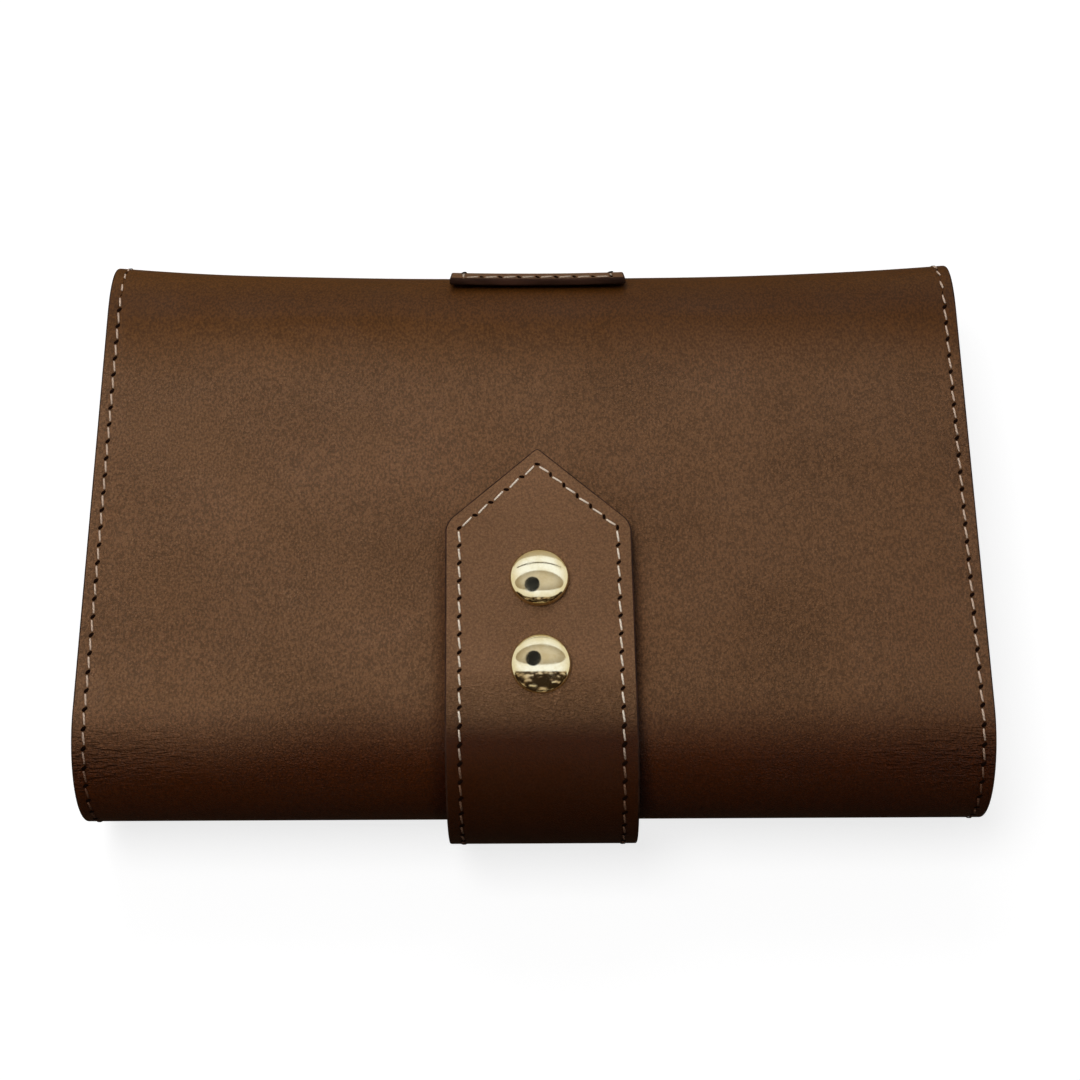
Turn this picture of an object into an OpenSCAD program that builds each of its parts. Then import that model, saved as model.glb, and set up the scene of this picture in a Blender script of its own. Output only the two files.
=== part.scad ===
// Long wallet that closes with a strap and two snap fasteners.
// It lies on its back: X runs along the spine, -Y is the spine side,
// +Y is the mouth and +Z is the front cover's outer face.

/* [Wallet body] */
// Length of the wallet along its spine
body_w = 190; // [170:1:210]
// Height of the closed wallet from the spine to the lip
body_h = 127.5; // [118:0.5:140]
// Thickness of the closed wallet without its strap
body_t = 36; // [35.5:0.5:40]
// Angle at which the front cover's lip ends, below the level through its middle
lip_drop = 60; // [45:1:64]

/* [Leather] */
// Thickness of the outer leather
leather_t = 1.6; // [1.2:0.1:1.8]
// Thickness of the stiffening board in each cover
board_t = 0.8; // [0.5:0.1:0.9]
// Thickness of the lining leather
lining_t = 0.8; // [0.5:0.1:0.9]
// Distance by which the board stays back from the cover's side edges
board_inset = 4; // [3.5:0.5:6]
// Distance by which the lining stays back from the cover's side edges
lining_inset = 1; // [0.5:0.1:2]

/* [Seams] */
// Width of the sewing thread
thread_w = 0.6; // [0.4:0.1:0.9]
// Height of the thread above the leather
thread_h = 0.25; // [0.15:0.05:0.35]
// Distance from a cover's edge to its seam
cover_seam = 2.6; // [2:0.1:3.2]
// Distance from a strap's edge to its seam
strap_seam = 3; // [2.5:0.1:4]

/* [Strap] */
// Width of the strap
strap_w = 39.5; // [30:0.5:50]
// Thickness of the strap's outer leather
strap_leather_t = 1.4; // [1:0.1:1.8]
// Thickness of the strap's lining
strap_lining_t = 0.8; // [0.5:0.1:1.2]
// Distance of the strap's middle from the wallet's middle
strap_x = 1.2; // [-10:0.1:10]
// Length of the strap on the front, from its bend to its point
strap_len = 60; // [54:0.5:70]
// Length of the tapered point
point_len = 17.5; // [12:0.5:22]
// Gap that the snaps hold open between strap and front cover
strap_gap = 1.6; // [1.5:0.1:2.4]
// Slack between the spine and the strap that bends round it
spine_slack = 3.2; // [2.5:0.1:4]
// Thickness of the tab that the strap ends in on the lip
tab_t = 1.6; // [1.2:0.1:2.2]
// Angle between the front face's level and the tab's end
tab_back = 25; // [10:1:40]

/* [Snaps] */
// Diameter of a snap's cap
cap_d = 12.5; // [10:0.5:15]
// Height of a snap's cap
cap_h = 3; // [2:0.1:4]
// Distance between the two snaps
snap_pitch = 19; // [16:0.5:24]
// Distance from the strap's bend to the first snap
snap_start = 10.6; // [10:0.1:16]
// Diameter of the stud's head
stud_d = 4.4; // [4:0.1:4.8]
// Height of the stud's head above its flange
stud_h = 2.6; // [2:0.1:2.8]
// Diameter of the stud's flange
flange_d = 10; // [8:0.1:11]
// Thickness of the stud's flange
flange_t = 0.4; // [0.3:0.1:0.5]
// Diameter of the shank that holds a stud in the cover
shank_d = 3; // [2:0.1:4]
// Diameter of the socket under the strap
socket_d = 10.4; // [9:0.1:11]

/* [Pockets] */
// Distance of the pockets from the cover's side edges
pocket_inset = 5; // [4:0.5:8]
// Thickness of a pocket wall
wall_t = 1.2; // [0.8:0.1:1.3]
// Opening of the rear note compartment
rear_gap = 5; // [4.5:0.1:5.4]
// Opening of the coin pocket
coin_gap = 8; // [7.6:0.1:8.4]
// Opening of the front note compartment
front_gap = 5.2; // [4.7:0.1:5.6]
// Thickness of a gusset's leather
gusset_t = 0.7; // [0.5:0.1:0.9]
// Depth of a gusset's inward fold
gusset_fold = 7; // [4:0.5:10]
// Distance from the lip's centre back to the pocket edges
mouth_inset = 1; // [0:0.5:4]
// Thickness of a card pocket's leather
card_t = 0.9; // [0.6:0.1:1]
// Step between the edges of two card pockets
card_step = 11; // [8:0.5:13]
// Depth of the lowest card pocket
card_depth = 46; // [40:1:52]
// Gap between the left and right card pockets
card_split = 4; // [2:0.5:8]

/* [Zip] */
// Distance from the pocket edges down to the zip tape
zip_drop = 4; // [3.5:0.5:8]
// Thickness of the zip tape
tape_t = 0.6; // [0.4:0.1:0.8]
// Width of one row of the zip's coil
coil_w = 1.2; // [1:0.1:1.4]
// Height of the zip's coil above its tape
coil_h = 1.2; // [0.9:0.1:1.4]
// Gap between the two rows of the coil
coil_gap = 0.7; // [0.6:0.05:0.8]
// Thickness of the slider's plates
plate_t = 0.9; // [0.7:0.1:1.1]
// Length of the slider
slider_l = 9; // [7:0.5:11]
// Distance from the pocket's side to the closed slider's middle
slider_home = 14; // [13.5:0.5:20]
// Length of the puller from its pin
puller_l = 11; // [8:0.5:11.5]
// Width of the puller
puller_w = 4.6; // [4.4:0.2:5.6]
// Diameter of the puller's pin
pin_d = 1; // [0.8:0.1:1.1]

/* [Hidden] */

leather_color = "#6a4326";
lining_color = "#8a6544";
thread_color = "#d8c3a0";
board_color = "#b9ab95";
metal_color = "#d9c58c";
zip_color = "#4a3424";

// Clearance between pieces that move apart
part_gap = 0.3;
// Clearance where two leathers meet end to end across a fold
fold_gap = 0.2;
// Radial clearance of a turning pin and of a riveted hole
pin_gap = 0.05;

strap_t = strap_leather_t + strap_lining_t;
fold_r = body_t / 2;
back_z = strap_t;
mid_z = back_z + fold_r;
front_z = back_z + body_t;
cover_t = leather_t + board_t + lining_t;
// Half of the angle that the spine's board covers, between the two folds
board_angle = 36;

// The strap's bend round the spine
bend_r = (front_z + strap_gap) / 2;
bend_z = bend_r + strap_t / 2;
bend_reach = spine_slack + strap_t;
// The bridge stops short of the strap's rolled root, which turns beside it
bridge_start = 90 + asin((strap_t / 2 + part_gap) / bend_r);
// The origin stands in the middle of the whole wallet, strap and tab included
home_y = (bend_reach - tab_t) / 2;
spine_y = home_y - body_h / 2 + fold_r;
lip_y = home_y + body_h / 2 - fold_r;
bend_y = home_y - body_h / 2 - bend_reach + bend_r + strap_t / 2;
mouth_y = lip_y - mouth_inset;

lip_in_r = fold_r - leather_t - lining_t;
lip_end_y = lip_y + lip_in_r * cos(lip_drop);
back_end_y = lip_end_y - 2 * part_gap;
strap_z = front_z + strap_gap;
snap_y = [bend_y + snap_start, bend_y + snap_start + snap_pitch];

pocket_w = body_w - 2 * pocket_inset;
pocket_y = spine_y + 1;
// Width of a gusset's slanted leather, measured along X
gusset_run = 1.5 * gusset_t;
// The pocket walls' feet stay between the gussets
foot_w = pocket_w - 2 * (gusset_fold + gusset_run + part_gap);
rear_z = back_z + cover_t;
coin_z = rear_z + rear_gap + wall_t;
coin_top = coin_z + coin_gap;
divider_z = coin_top + wall_t + front_gap;
divider_top = divider_z + wall_t;
front_in_z = front_z - cover_t;

zip_y = mouth_y - zip_drop;
zip_z = coin_z + coin_gap / 2;
coil_out = coil_gap / 2 + coil_w;
slider_x = pocket_w / 2 - slider_home;
slider_w = 2 * coil_out + 2 * plate_t + 2 * part_gap;
plate_top_y = zip_y + tape_t + coil_h + part_gap + plate_t;
lug_r = pin_d / 2 + 0.7;
pin_y = plate_top_y + lug_r;
lug_w = 2;
post_d = stud_d + 1.6;
post_bore_d = stud_d + 0.8;

// Extrudes a shape drawn in the Y-Z plane along X, centred
module along_x(w) {
    rotate([90, 0, 90]) linear_extrude(height = w, center = true) children();
}

// A flat sheet from y0 to y1 and z0 to z1, centred along X
module sheet(w, y0, y1, z0, z1) {
    translate([-w / 2, y0, z0]) cube([w, y1 - y0, z1 - z0]);
}

// A bent sheet round an axis along X, from angle a0 to a1 above +Y
module bent_sheet(w, y, z, r_in, r_out, a0, a1) {
    translate([0, y, z]) rotate([90, 0, 90]) rotate([0, 0, a0])
        rotate_extrude(angle = a1 - a0, $fn = 96)
            translate([r_in, -w / 2]) square([r_out - r_in, w]);
}

// A layer of the front cover, flat from the spine and then bent round the lip
module lipped_sheet(w, r_in, r_out) {
    reach = 2 * r_out;
    drop = [reach * cos(lip_drop), -reach * sin(lip_drop)];
    translate([0, lip_y, mid_z]) along_x(w) {
        translate([spine_y - lip_y, r_in]) square([lip_y - spine_y, r_out - r_in]);
        difference() {
            circle(r = r_out, $fn = 96);
            circle(r = r_in, $fn = 96);
            polygon([[0, 0], drop, [0, -reach], [-reach, -reach], [-reach, reach], [0, reach]]);
        }
    }
}

// Copies its child to both ends along X
module both_sides(x) {
    for (side = [-1, 1]) translate([side * x, 0, 0]) children();
}

// Outline of the strap's front part, set in from its edges
function strap_outline(inset) =
    let (
        half = strap_w / 2 - inset,
        slope = norm([strap_w / 2, point_len]),
        tip = strap_len - inset * slope / (strap_w / 2),
        shoulder = tip - half * point_len / (strap_w / 2)
    )
    [[-half, 0], [half, 0], [half, shoulder], [0, tip], [-half, shoulder]];

// A closed outline at the strap's seam, as wide as the thread
module strap_seam_outline() {
    difference() {
        polygon(strap_outline(strap_seam - thread_w / 2));
        polygon(strap_outline(strap_seam + thread_w / 2));
        translate([-strap_w / 2, -1]) square([strap_w, strap_t]);
    }
}

module back_cover_leather() {
    color(leather_color) sheet(body_w, spine_y, back_end_y, back_z, back_z + leather_t);
}

module back_cover_board() {
    color(board_color)
        sheet(body_w - 2 * board_inset, spine_y, back_end_y - board_inset,
            back_z + leather_t, back_z + leather_t + board_t);
}

module back_cover_lining() {
    color(lining_color)
        sheet(body_w - 2 * lining_inset, spine_y, back_end_y,
            back_z + leather_t + board_t, rear_z);
}

module back_cover_thread() {
    color(thread_color) both_sides(body_w / 2 - cover_seam)
        sheet(thread_w, spine_y, back_end_y, back_z - thread_h, back_z);
}

module back_band_leather() {
    color(leather_color) translate([strap_x, 0, 0])
        difference() {
            sheet(strap_w, bend_y + fold_gap, back_end_y, 0, strap_t);
            both_sides(strap_w / 2 - strap_seam)
                sheet(thread_w, bend_y, back_end_y + 1, -1, thread_h);
        }
}

module back_band_thread() {
    color(thread_color) translate([strap_x, 0, 0]) both_sides(strap_w / 2 - strap_seam)
        sheet(thread_w, bend_y + fold_gap, back_end_y, 0, thread_h);
}

// One side gusset: a V that folds inward between two walls
module gusset(z0, z1, y1) {
    mid = (z0 + z1) / 2;
    outer = [[0, z0], [-gusset_fold, mid], [0, z1]];
    inner = [[-gusset_run, z1], [-gusset_fold - gusset_run, mid], [-gusset_run, z0]];
    translate([pocket_w / 2, y1, 0]) rotate([90, 0, 0])
        linear_extrude(height = y1 - pocket_y) polygon(concat(outer, inner));
}

module gusset_pair(z0, z1, y1) {
    gusset(z0, z1, y1);
    mirror([1, 0, 0]) gusset(z0, z1, y1);
}

module rear_note_gussets() {
    color(leather_color) gusset_pair(rear_z, rear_z + rear_gap, mouth_y);
}

module coin_pocket_gussets() {
    color(leather_color) gusset_pair(coin_z, coin_top, zip_y - 2 * plate_t - part_gap);
}

module front_note_gussets() {
    color(leather_color) gusset_pair(coin_top + wall_t, divider_z, mouth_y);
}

// The rear wall turns down at its foot and closes the rear note compartment
module coin_wall_rear() {
    color(leather_color) {
        sheet(pocket_w, pocket_y, zip_y + tape_t, rear_z + rear_gap, coin_z);
        sheet(foot_w, pocket_y, pocket_y + wall_t,
            rear_z, rear_z + rear_gap);
    }
}

// The front wall turns down at its foot and closes the coin pocket
module coin_wall_front() {
    color(leather_color) {
        sheet(pocket_w, pocket_y, zip_y + tape_t, coin_top, coin_top + wall_t);
        sheet(foot_w, pocket_y, pocket_y + wall_t,
            coin_z, coin_top);
    }
}

// The divider turns down at its foot and closes the front note compartment
module card_divider() {
    color(leather_color) {
        sheet(pocket_w, pocket_y, mouth_y, divider_z, divider_top);
        sheet(foot_w, pocket_y, pocket_y + wall_t,
            coin_top + wall_t, divider_z);
    }
}

// A row of two card pockets, the row nearest the cover being the deepest
module slot_row(row, rows, z0) {
    pocket = (pocket_w - card_split) / 2 - card_split;
    edge_y = pocket_y + card_depth + (rows - row) * card_step;
    for (side = [-1, 1])
        translate([side * (pocket + card_split) / 2, 0, 0])
            sheet(pocket, pocket_y + wall_t, edge_y, z0, z0 + card_t);
}

module divider_slot_row_1() {
    color(lining_color) slot_row(1, 2, divider_top);
}

module divider_slot_row_2() {
    color(lining_color) slot_row(2, 2, divider_top + card_t);
}

module front_slip_pocket() {
    color(leather_color) sheet(pocket_w, pocket_y, mouth_y, front_in_z - wall_t, front_in_z);
}

module front_slot_row(row) {
    color(lining_color) slot_row(row, 4, front_in_z - wall_t - row * card_t);
}

module front_slot_row_1() {
    front_slot_row(1);
}

module front_slot_row_2() {
    front_slot_row(2);
}

module front_slot_row_3() {
    front_slot_row(3);
}

module front_slot_row_4() {
    front_slot_row(4);
}

// Tapes lie across the coin pocket's mouth, from each wall to the coil
module zip_tape_rear() {
    color(zip_color)
        sheet(pocket_w - 2 * gusset_t, zip_y, zip_y + tape_t, coin_z, zip_z - coil_gap / 2);
}

module zip_tape_front() {
    color(zip_color)
        sheet(pocket_w - 2 * gusset_t, zip_y, zip_y + tape_t, zip_z + coil_gap / 2, coin_top);
}

module zip_coil(side) {
    coil_l = 2 * slider_x + slider_l;
    z0 = side > 0 ? zip_z + coil_gap / 2 : zip_z - coil_out;
    sheet(coil_l, zip_y + tape_t, zip_y + tape_t + coil_h, z0, z0 + coil_w);
}

module zip_coil_rear() {
    color(metal_color) zip_coil(-1);
}

module zip_coil_front() {
    color(metal_color) zip_coil(1);
}

// A stop closes each end of the coil, just past the slider's travel
module zip_end_stops() {
    stop_l = 2;
    color(metal_color) both_sides(slider_x + slider_l / 2 + part_gap + stop_l / 2)
        sheet(stop_l, zip_y + tape_t, zip_y + tape_t + coil_h, zip_z - coil_out, zip_z + coil_out);
}

// Two plates joined by a web that runs between the coil's rows
module zip_slider() {
    web_w = coil_gap - 2 * fold_gap;
    under_y = zip_y - part_gap;
    color(metal_color) translate([slider_x, 0, 0])
        difference() {
            union() {
                sheet(slider_l, plate_top_y - plate_t, plate_top_y,
                    zip_z - slider_w / 2, zip_z + slider_w / 2);
                sheet(slider_l, under_y - plate_t, under_y,
                    zip_z - slider_w / 2, zip_z + slider_w / 2);
                sheet(slider_l, under_y, plate_top_y - plate_t,
                    zip_z - web_w / 2, zip_z + web_w / 2);
                translate([0, pin_y, zip_z])
                    cylinder(r = lug_r, h = lug_w, center = true, $fn = 48);
                sheet(2 * lug_r, plate_top_y, pin_y, zip_z - lug_w / 2, zip_z + lug_w / 2);
            }
            translate([0, pin_y, zip_z])
                cylinder(r = pin_d / 2 + pin_gap, h = 2 * lug_w, center = true, $fn = 48);
        }
}

// A fork whose pin turns in the slider's lug
module zip_puller() {
    ear_t = 0.9;
    fork_w = lug_w + 2 * part_gap;
    full_w = max(puller_w, fork_w + 2 * ear_t);
    puller_t = 2 * (lug_r - 0.3);
    end_r = full_w / 2;
    color(metal_color) translate([slider_x, pin_y, zip_z]) {
        cylinder(r = pin_d / 2, h = full_w, center = true, $fn = 48);
        for (side = [-1, 1]) translate([0, 0, side * (fork_w + ear_t) / 2]) {
            cylinder(r = puller_t / 2, h = ear_t, center = true, $fn = 48);
            translate([-lug_r - 1.5, -puller_t / 2, -ear_t / 2])
                cube([lug_r + 1.5, puller_t, ear_t]);
        }
        translate([-puller_l + end_r, -puller_t / 2, -full_w / 2])
            cube([puller_l - end_r - lug_r - part_gap, puller_t, full_w]);
        translate([-puller_l + end_r, 0, 0]) rotate([90, 0, 0])
            cylinder(r = end_r, h = puller_t, center = true, $fn = 48);
    }
}

module spine_leather() {
    color(leather_color)
        translate([0, -fold_gap, 0])
            bent_sheet(body_w, spine_y, mid_z, fold_r - leather_t, fold_r, 90, 270);
}

// The board stays between the two folds, so that the spine can open flat
module spine_board() {
    color(board_color)
        translate([0, -fold_gap, 0])
            bent_sheet(body_w - 2 * board_inset, spine_y, mid_z, fold_r - leather_t - board_t,
                fold_r - leather_t, 180 - board_angle, 180 + board_angle);
}

module spine_lining() {
    color(lining_color)
        translate([0, -fold_gap, 0])
            bent_sheet(body_w - 2 * lining_inset, spine_y, mid_z, fold_r - cover_t,
                fold_r - leather_t - board_t, 90, 270);
}

module spine_thread() {
    color(thread_color) translate([0, -fold_gap, 0]) both_sides(body_w / 2 - cover_seam)
        bent_sheet(thread_w, spine_y, mid_z, fold_r, fold_r + thread_h, 90, 270);
}

module strap_bridge_leather() {
    color(leather_color) translate([strap_x, 0, 0])
        bent_sheet(strap_w, bend_y, bend_z, bend_r - strap_t / 2, bend_r + strap_t / 2,
            bridge_start, 270);
}

module strap_bridge_thread() {
    color(thread_color) translate([strap_x, 0, 0]) both_sides(strap_w / 2 - strap_seam)
        bent_sheet(thread_w, bend_y, bend_z, bend_r + strap_t / 2,
            bend_r + strap_t / 2 + thread_h, bridge_start, 225);
}

// Holes through the front cover for the shanks of the studs
module snap_holes(d) {
    for (y = snap_y)
        translate([strap_x, y, front_z - cover_t])
            cylinder(r = d / 2 + pin_gap, h = 2 * cover_t, $fn = 48);
}

module front_cover_leather() {
    color(leather_color) difference() {
        lipped_sheet(body_w, fold_r - leather_t, fold_r);
        snap_holes(shank_d);
    }
}

module front_cover_board() {
    color(board_color) difference() {
        sheet(body_w - 2 * board_inset, spine_y, lip_y - board_inset,
            front_z - leather_t - board_t, front_z - leather_t);
        snap_holes(flange_d);
    }
}

// The lining covers the board and then follows the leather round the lip
module front_cover_lining() {
    lining_w = body_w - 2 * lining_inset;
    color(lining_color) {
        sheet(lining_w, spine_y, lip_y, front_in_z, front_in_z + lining_t);
        sheet(lining_w, lip_y - board_inset, lip_y, front_in_z, front_z - leather_t);
        bent_sheet(lining_w, lip_y, mid_z, lip_in_r, lip_in_r + lining_t, -lip_drop, 90);
    }
}

module front_cover_thread() {
    color(thread_color) both_sides(body_w / 2 - cover_seam)
        lipped_sheet(thread_w, fold_r, fold_r + thread_h);
}

module lip_tab_leather() {
    color(leather_color) translate([strap_x, 0, 0])
        bent_sheet(strap_w, lip_y, mid_z, fold_r, fold_r + tab_t, -lip_drop, 90 - tab_back);
}

// The tab's seam runs along both sides and turns across its end
module lip_tab_thread() {
    seam_r = fold_r + tab_t;
    end_angle = 90 - tab_back - asin(strap_seam / seam_r);
    thread_angle = asin(thread_w / seam_r);
    color(thread_color) translate([strap_x, 0, 0]) {
        both_sides(strap_w / 2 - strap_seam)
            bent_sheet(thread_w, lip_y, mid_z, seam_r, seam_r + thread_h, -lip_drop, end_angle);
        bent_sheet(strap_w - 2 * strap_seam + thread_w, lip_y, mid_z, seam_r, seam_r + thread_h,
            end_angle - thread_angle, end_angle);
    }
}

module snap_studs() {
    neck_d = stud_d - 0.8;
    color(metal_color) for (y = snap_y) translate([strap_x, y, front_z]) {
        cylinder(r = flange_d / 2, h = flange_t, $fn = 64);
        cylinder(r = neck_d / 2, h = flange_t + stud_h / 2, $fn = 48);
        translate([0, 0, flange_t + stud_h / 2])
            cylinder(r1 = neck_d / 2, r2 = stud_d / 2, h = stud_h / 4, $fn = 48);
        translate([0, 0, flange_t + stud_h * 3 / 4])
            cylinder(r1 = stud_d / 2, r2 = neck_d / 2, h = stud_h / 4, $fn = 48);
    }
}

// Each post has its head in the board and its shank in the leather
module snap_posts() {
    color(metal_color) for (y = snap_y) translate([strap_x, y, front_z - leather_t - board_t]) {
        cylinder(r = flange_d / 2, h = board_t, $fn = 64);
        cylinder(r = shank_d / 2, h = board_t + leather_t, $fn = 48);
    }
}

// Through holes for the hollow posts of the caps
module cap_post_holes() {
    for (y = snap_y)
        translate([strap_x, y, strap_z - 1])
            cylinder(r = post_d / 2 + pin_gap, h = strap_t + 2, $fn = 48);
}

// The strap's root is rolled round the axis on which it turns
module strap_leather() {
    color(leather_color) difference() {
        union() {
            translate([strap_x, bend_y, strap_z + strap_lining_t])
                linear_extrude(height = strap_leather_t) polygon(strap_outline(0));
            translate([strap_x, bend_y, strap_z + strap_t / 2]) rotate([0, 90, 0])
                cylinder(r = strap_t / 2, h = strap_w, center = true, $fn = 48);
        }
        cap_post_holes();
    }
}

module strap_lining() {
    root = strap_t / 2 + pin_gap;
    color(lining_color) difference() {
        translate([strap_x, bend_y, strap_z]) linear_extrude(height = strap_lining_t)
            difference() {
                polygon(strap_outline(0));
                translate([-strap_w, -root]) square([2 * strap_w, 2 * root]);
            }
        cap_post_holes();
    }
}

module strap_thread() {
    color(thread_color) translate([strap_x, bend_y, strap_z + strap_t])
        linear_extrude(height = thread_h) strap_seam_outline();
}

// A domed cap with a rolled rim, on a hollow post that the stud's head enters
module snap_caps() {
    rim_r = cap_h * 0.36;
    flat_r = cap_d / 2 - rim_r;
    dome_rise = cap_h - 2 * rim_r;
    dome_r = (flat_r * flat_r + dome_rise * dome_rise) / (2 * dome_rise);
    socket_bottom = front_z + flange_t + part_gap;
    color(metal_color) for (y = snap_y) translate([strap_x, y, 0]) {
        translate([0, 0, strap_z + strap_t]) rotate_extrude($fn = 96) {
            square([flat_r, 2 * rim_r]);
            translate([flat_r, rim_r]) circle(r = rim_r, $fn = 48);
            intersection() {
                translate([0, cap_h - dome_r]) circle(r = dome_r, $fn = 192);
                square([flat_r, cap_h + 1]);
            }
        }
        difference() {
            translate([0, 0, socket_bottom])
                cylinder(r = post_d / 2, h = strap_z + strap_t - socket_bottom, $fn = 64);
            translate([0, 0, socket_bottom - 1])
                cylinder(r = post_bore_d / 2, h = strap_z + strap_t - socket_bottom + 1, $fn = 64);
        }
    }
}

module snap_sockets() {
    socket_bottom = front_z + flange_t + part_gap;
    color(metal_color) for (y = snap_y) translate([strap_x, y, socket_bottom])
        difference() {
            cylinder(r = socket_d / 2, h = strap_z - socket_bottom, $fn = 64);
            translate([0, 0, -1])
                cylinder(r = post_d / 2 + pin_gap, h = strap_z - socket_bottom + 2, $fn = 64);
        }
}

back_cover_leather();
back_cover_board();
back_cover_lining();
back_cover_thread();
back_band_leather();
back_band_thread();
rear_note_gussets();
coin_wall_rear();
coin_wall_front();
coin_pocket_gussets();
front_note_gussets();
card_divider();
divider_slot_row_1();
divider_slot_row_2();
zip_tape_rear();
zip_tape_front();
zip_coil_rear();
zip_coil_front();
zip_end_stops();
zip_slider();
zip_puller();
spine_leather();
spine_board();
spine_lining();
spine_thread();
strap_bridge_leather();
strap_bridge_thread();
front_cover_leather();
front_cover_board();
front_cover_lining();
front_cover_thread();
front_slip_pocket();
front_slot_row_1();
front_slot_row_2();
front_slot_row_3();
front_slot_row_4();
lip_tab_leather();
lip_tab_thread();
snap_studs();
snap_posts();
strap_leather();
strap_lining();
strap_thread();
snap_caps();
snap_sockets();
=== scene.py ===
import math

import bmesh
import bpy
from bpy.props import FloatProperty, FloatVectorProperty, PointerProperty
from mathutils import Matrix, Vector, noise


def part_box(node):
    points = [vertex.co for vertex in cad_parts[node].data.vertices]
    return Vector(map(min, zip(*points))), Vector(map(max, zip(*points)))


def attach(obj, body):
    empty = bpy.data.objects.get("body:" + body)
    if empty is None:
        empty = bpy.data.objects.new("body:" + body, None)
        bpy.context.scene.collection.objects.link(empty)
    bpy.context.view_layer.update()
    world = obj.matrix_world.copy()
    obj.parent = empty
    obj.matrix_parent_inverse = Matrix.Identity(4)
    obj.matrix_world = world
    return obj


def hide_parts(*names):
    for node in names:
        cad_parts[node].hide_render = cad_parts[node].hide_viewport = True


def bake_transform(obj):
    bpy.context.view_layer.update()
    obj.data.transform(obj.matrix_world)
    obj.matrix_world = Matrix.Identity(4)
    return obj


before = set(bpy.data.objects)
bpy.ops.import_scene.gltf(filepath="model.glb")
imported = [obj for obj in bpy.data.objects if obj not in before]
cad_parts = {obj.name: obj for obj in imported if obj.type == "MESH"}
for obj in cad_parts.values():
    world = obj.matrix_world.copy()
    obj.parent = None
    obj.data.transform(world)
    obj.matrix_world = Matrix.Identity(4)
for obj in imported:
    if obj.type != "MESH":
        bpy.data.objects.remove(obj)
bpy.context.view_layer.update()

bl_info = {
    "name": "Long Wallet",
    "version": (1, 0, 0),
    "blender": (4, 5, 0),
    "location": "3D View > Sidebar > Wallet",
    "description": "Dresses a long leather wallet with its covers, strap, snaps, pockets and seams",
    "category": "Object",
}

MM = 0.001


def size_of(node):
    """The three side lengths of a CAD node."""
    low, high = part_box(node)
    return high - low


# The wallet's main lines, all read from the frame
HALF_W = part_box("front_cover_leather")[1].x
FRONT_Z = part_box("front_cover_leather")[1].z
BACK_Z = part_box("back_cover_leather")[0].z
BACK_END_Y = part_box("back_cover_leather")[1].y
SPINE_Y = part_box("back_cover_leather")[0].y
LEATHER_T = size_of("back_cover_leather").z
FOLD_R = (FRONT_Z - BACK_Z) / 2
MID_Z = (FRONT_Z + BACK_Z) / 2
LIP_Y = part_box("front_cover_leather")[1].y - FOLD_R
LIP_DROP = math.asin((MID_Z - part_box("front_cover_leather")[0].z) / FOLD_R)
LINING_HALF_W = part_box("front_cover_lining")[1].x
FRONT_IN_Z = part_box("front_slip_pocket")[1].z

STRAP_LOW, STRAP_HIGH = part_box("strap_leather")
STRAP_X = (STRAP_LOW.x + STRAP_HIGH.x) / 2
STRAP_W = STRAP_HIGH.x - STRAP_LOW.x
STRAP_T = STRAP_HIGH.z - STRAP_LOW.z
STRAP_TOP = STRAP_HIGH.z
STRAP_TIP_Y = STRAP_HIGH.y
BEND_R = STRAP_TOP / 2
BEND_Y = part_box("strap_bridge_leather")[0].y + BEND_R
TAB_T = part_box("lip_tab_leather")[1].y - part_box("front_cover_leather")[1].y

SNAP_D = size_of("snap_caps").x
SNAP_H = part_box("snap_caps")[1].z - STRAP_TOP
SNAP_Y = [
    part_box("snap_caps")[0].y + SNAP_D / 2,
    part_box("snap_caps")[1].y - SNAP_D / 2,
]


class WalletSizes(bpy.types.PropertyGroup):
    """Sizes of the finish that the frame leaves open."""

    stitch_pitch: FloatProperty(
        name="Stitch Pitch",
        description="Distance from one needle hole to the next",
        default=4.05 * MM,
        unit="LENGTH",
    )
    thread_d: FloatProperty(
        name="Thread Diameter",
        description="Diameter of the sewing thread",
        default=0.46 * MM,
        unit="LENGTH",
    )
    stitch_slant: FloatProperty(
        name="Stitch Slant",
        description="Angle between a stitch and its seam",
        default=math.radians(7),
        subtype="ANGLE",
    )
    cover_seam: FloatProperty(
        name="Cover Seam",
        description="Distance from a cover's edge to its seam",
        default=2.6 * MM,
        unit="LENGTH",
    )
    strap_seam: FloatProperty(
        name="Strap Seam",
        description="Distance from the strap's edge to its seam",
        default=3.0 * MM,
        unit="LENGTH",
    )
    seam_dip: FloatProperty(
        name="Seam Dip",
        description="Depth to which the thread pulls the leather down along a seam",
        default=0.16 * MM,
        unit="LENGTH",
    )
    strap_lean: FloatProperty(
        name="Strap Lean",
        description="Sideways drift of the snapped strap along its length",
        default=math.radians(0.6),
        subtype="ANGLE",
    )
    edge_round: FloatProperty(
        name="Edge Rounding",
        description="Width of the rounding on cut leather edges",
        default=0.35 * MM,
        unit="LENGTH",
    )
    lip_flare: FloatProperty(
        name="Lip Flare",
        description="Distance by which the lip's corners stand out beyond its middle",
        default=2.3 * MM,
        unit="LENGTH",
    )
    strap_point: FloatProperty(
        name="Strap Point",
        description="Length of the strap's tapered point",
        default=17.5 * MM,
        unit="LENGTH",
    )
    card_split: FloatProperty(
        name="Card Split",
        description="Gap between the left and right card pockets",
        default=4.0 * MM,
        unit="LENGTH",
    )


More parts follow.
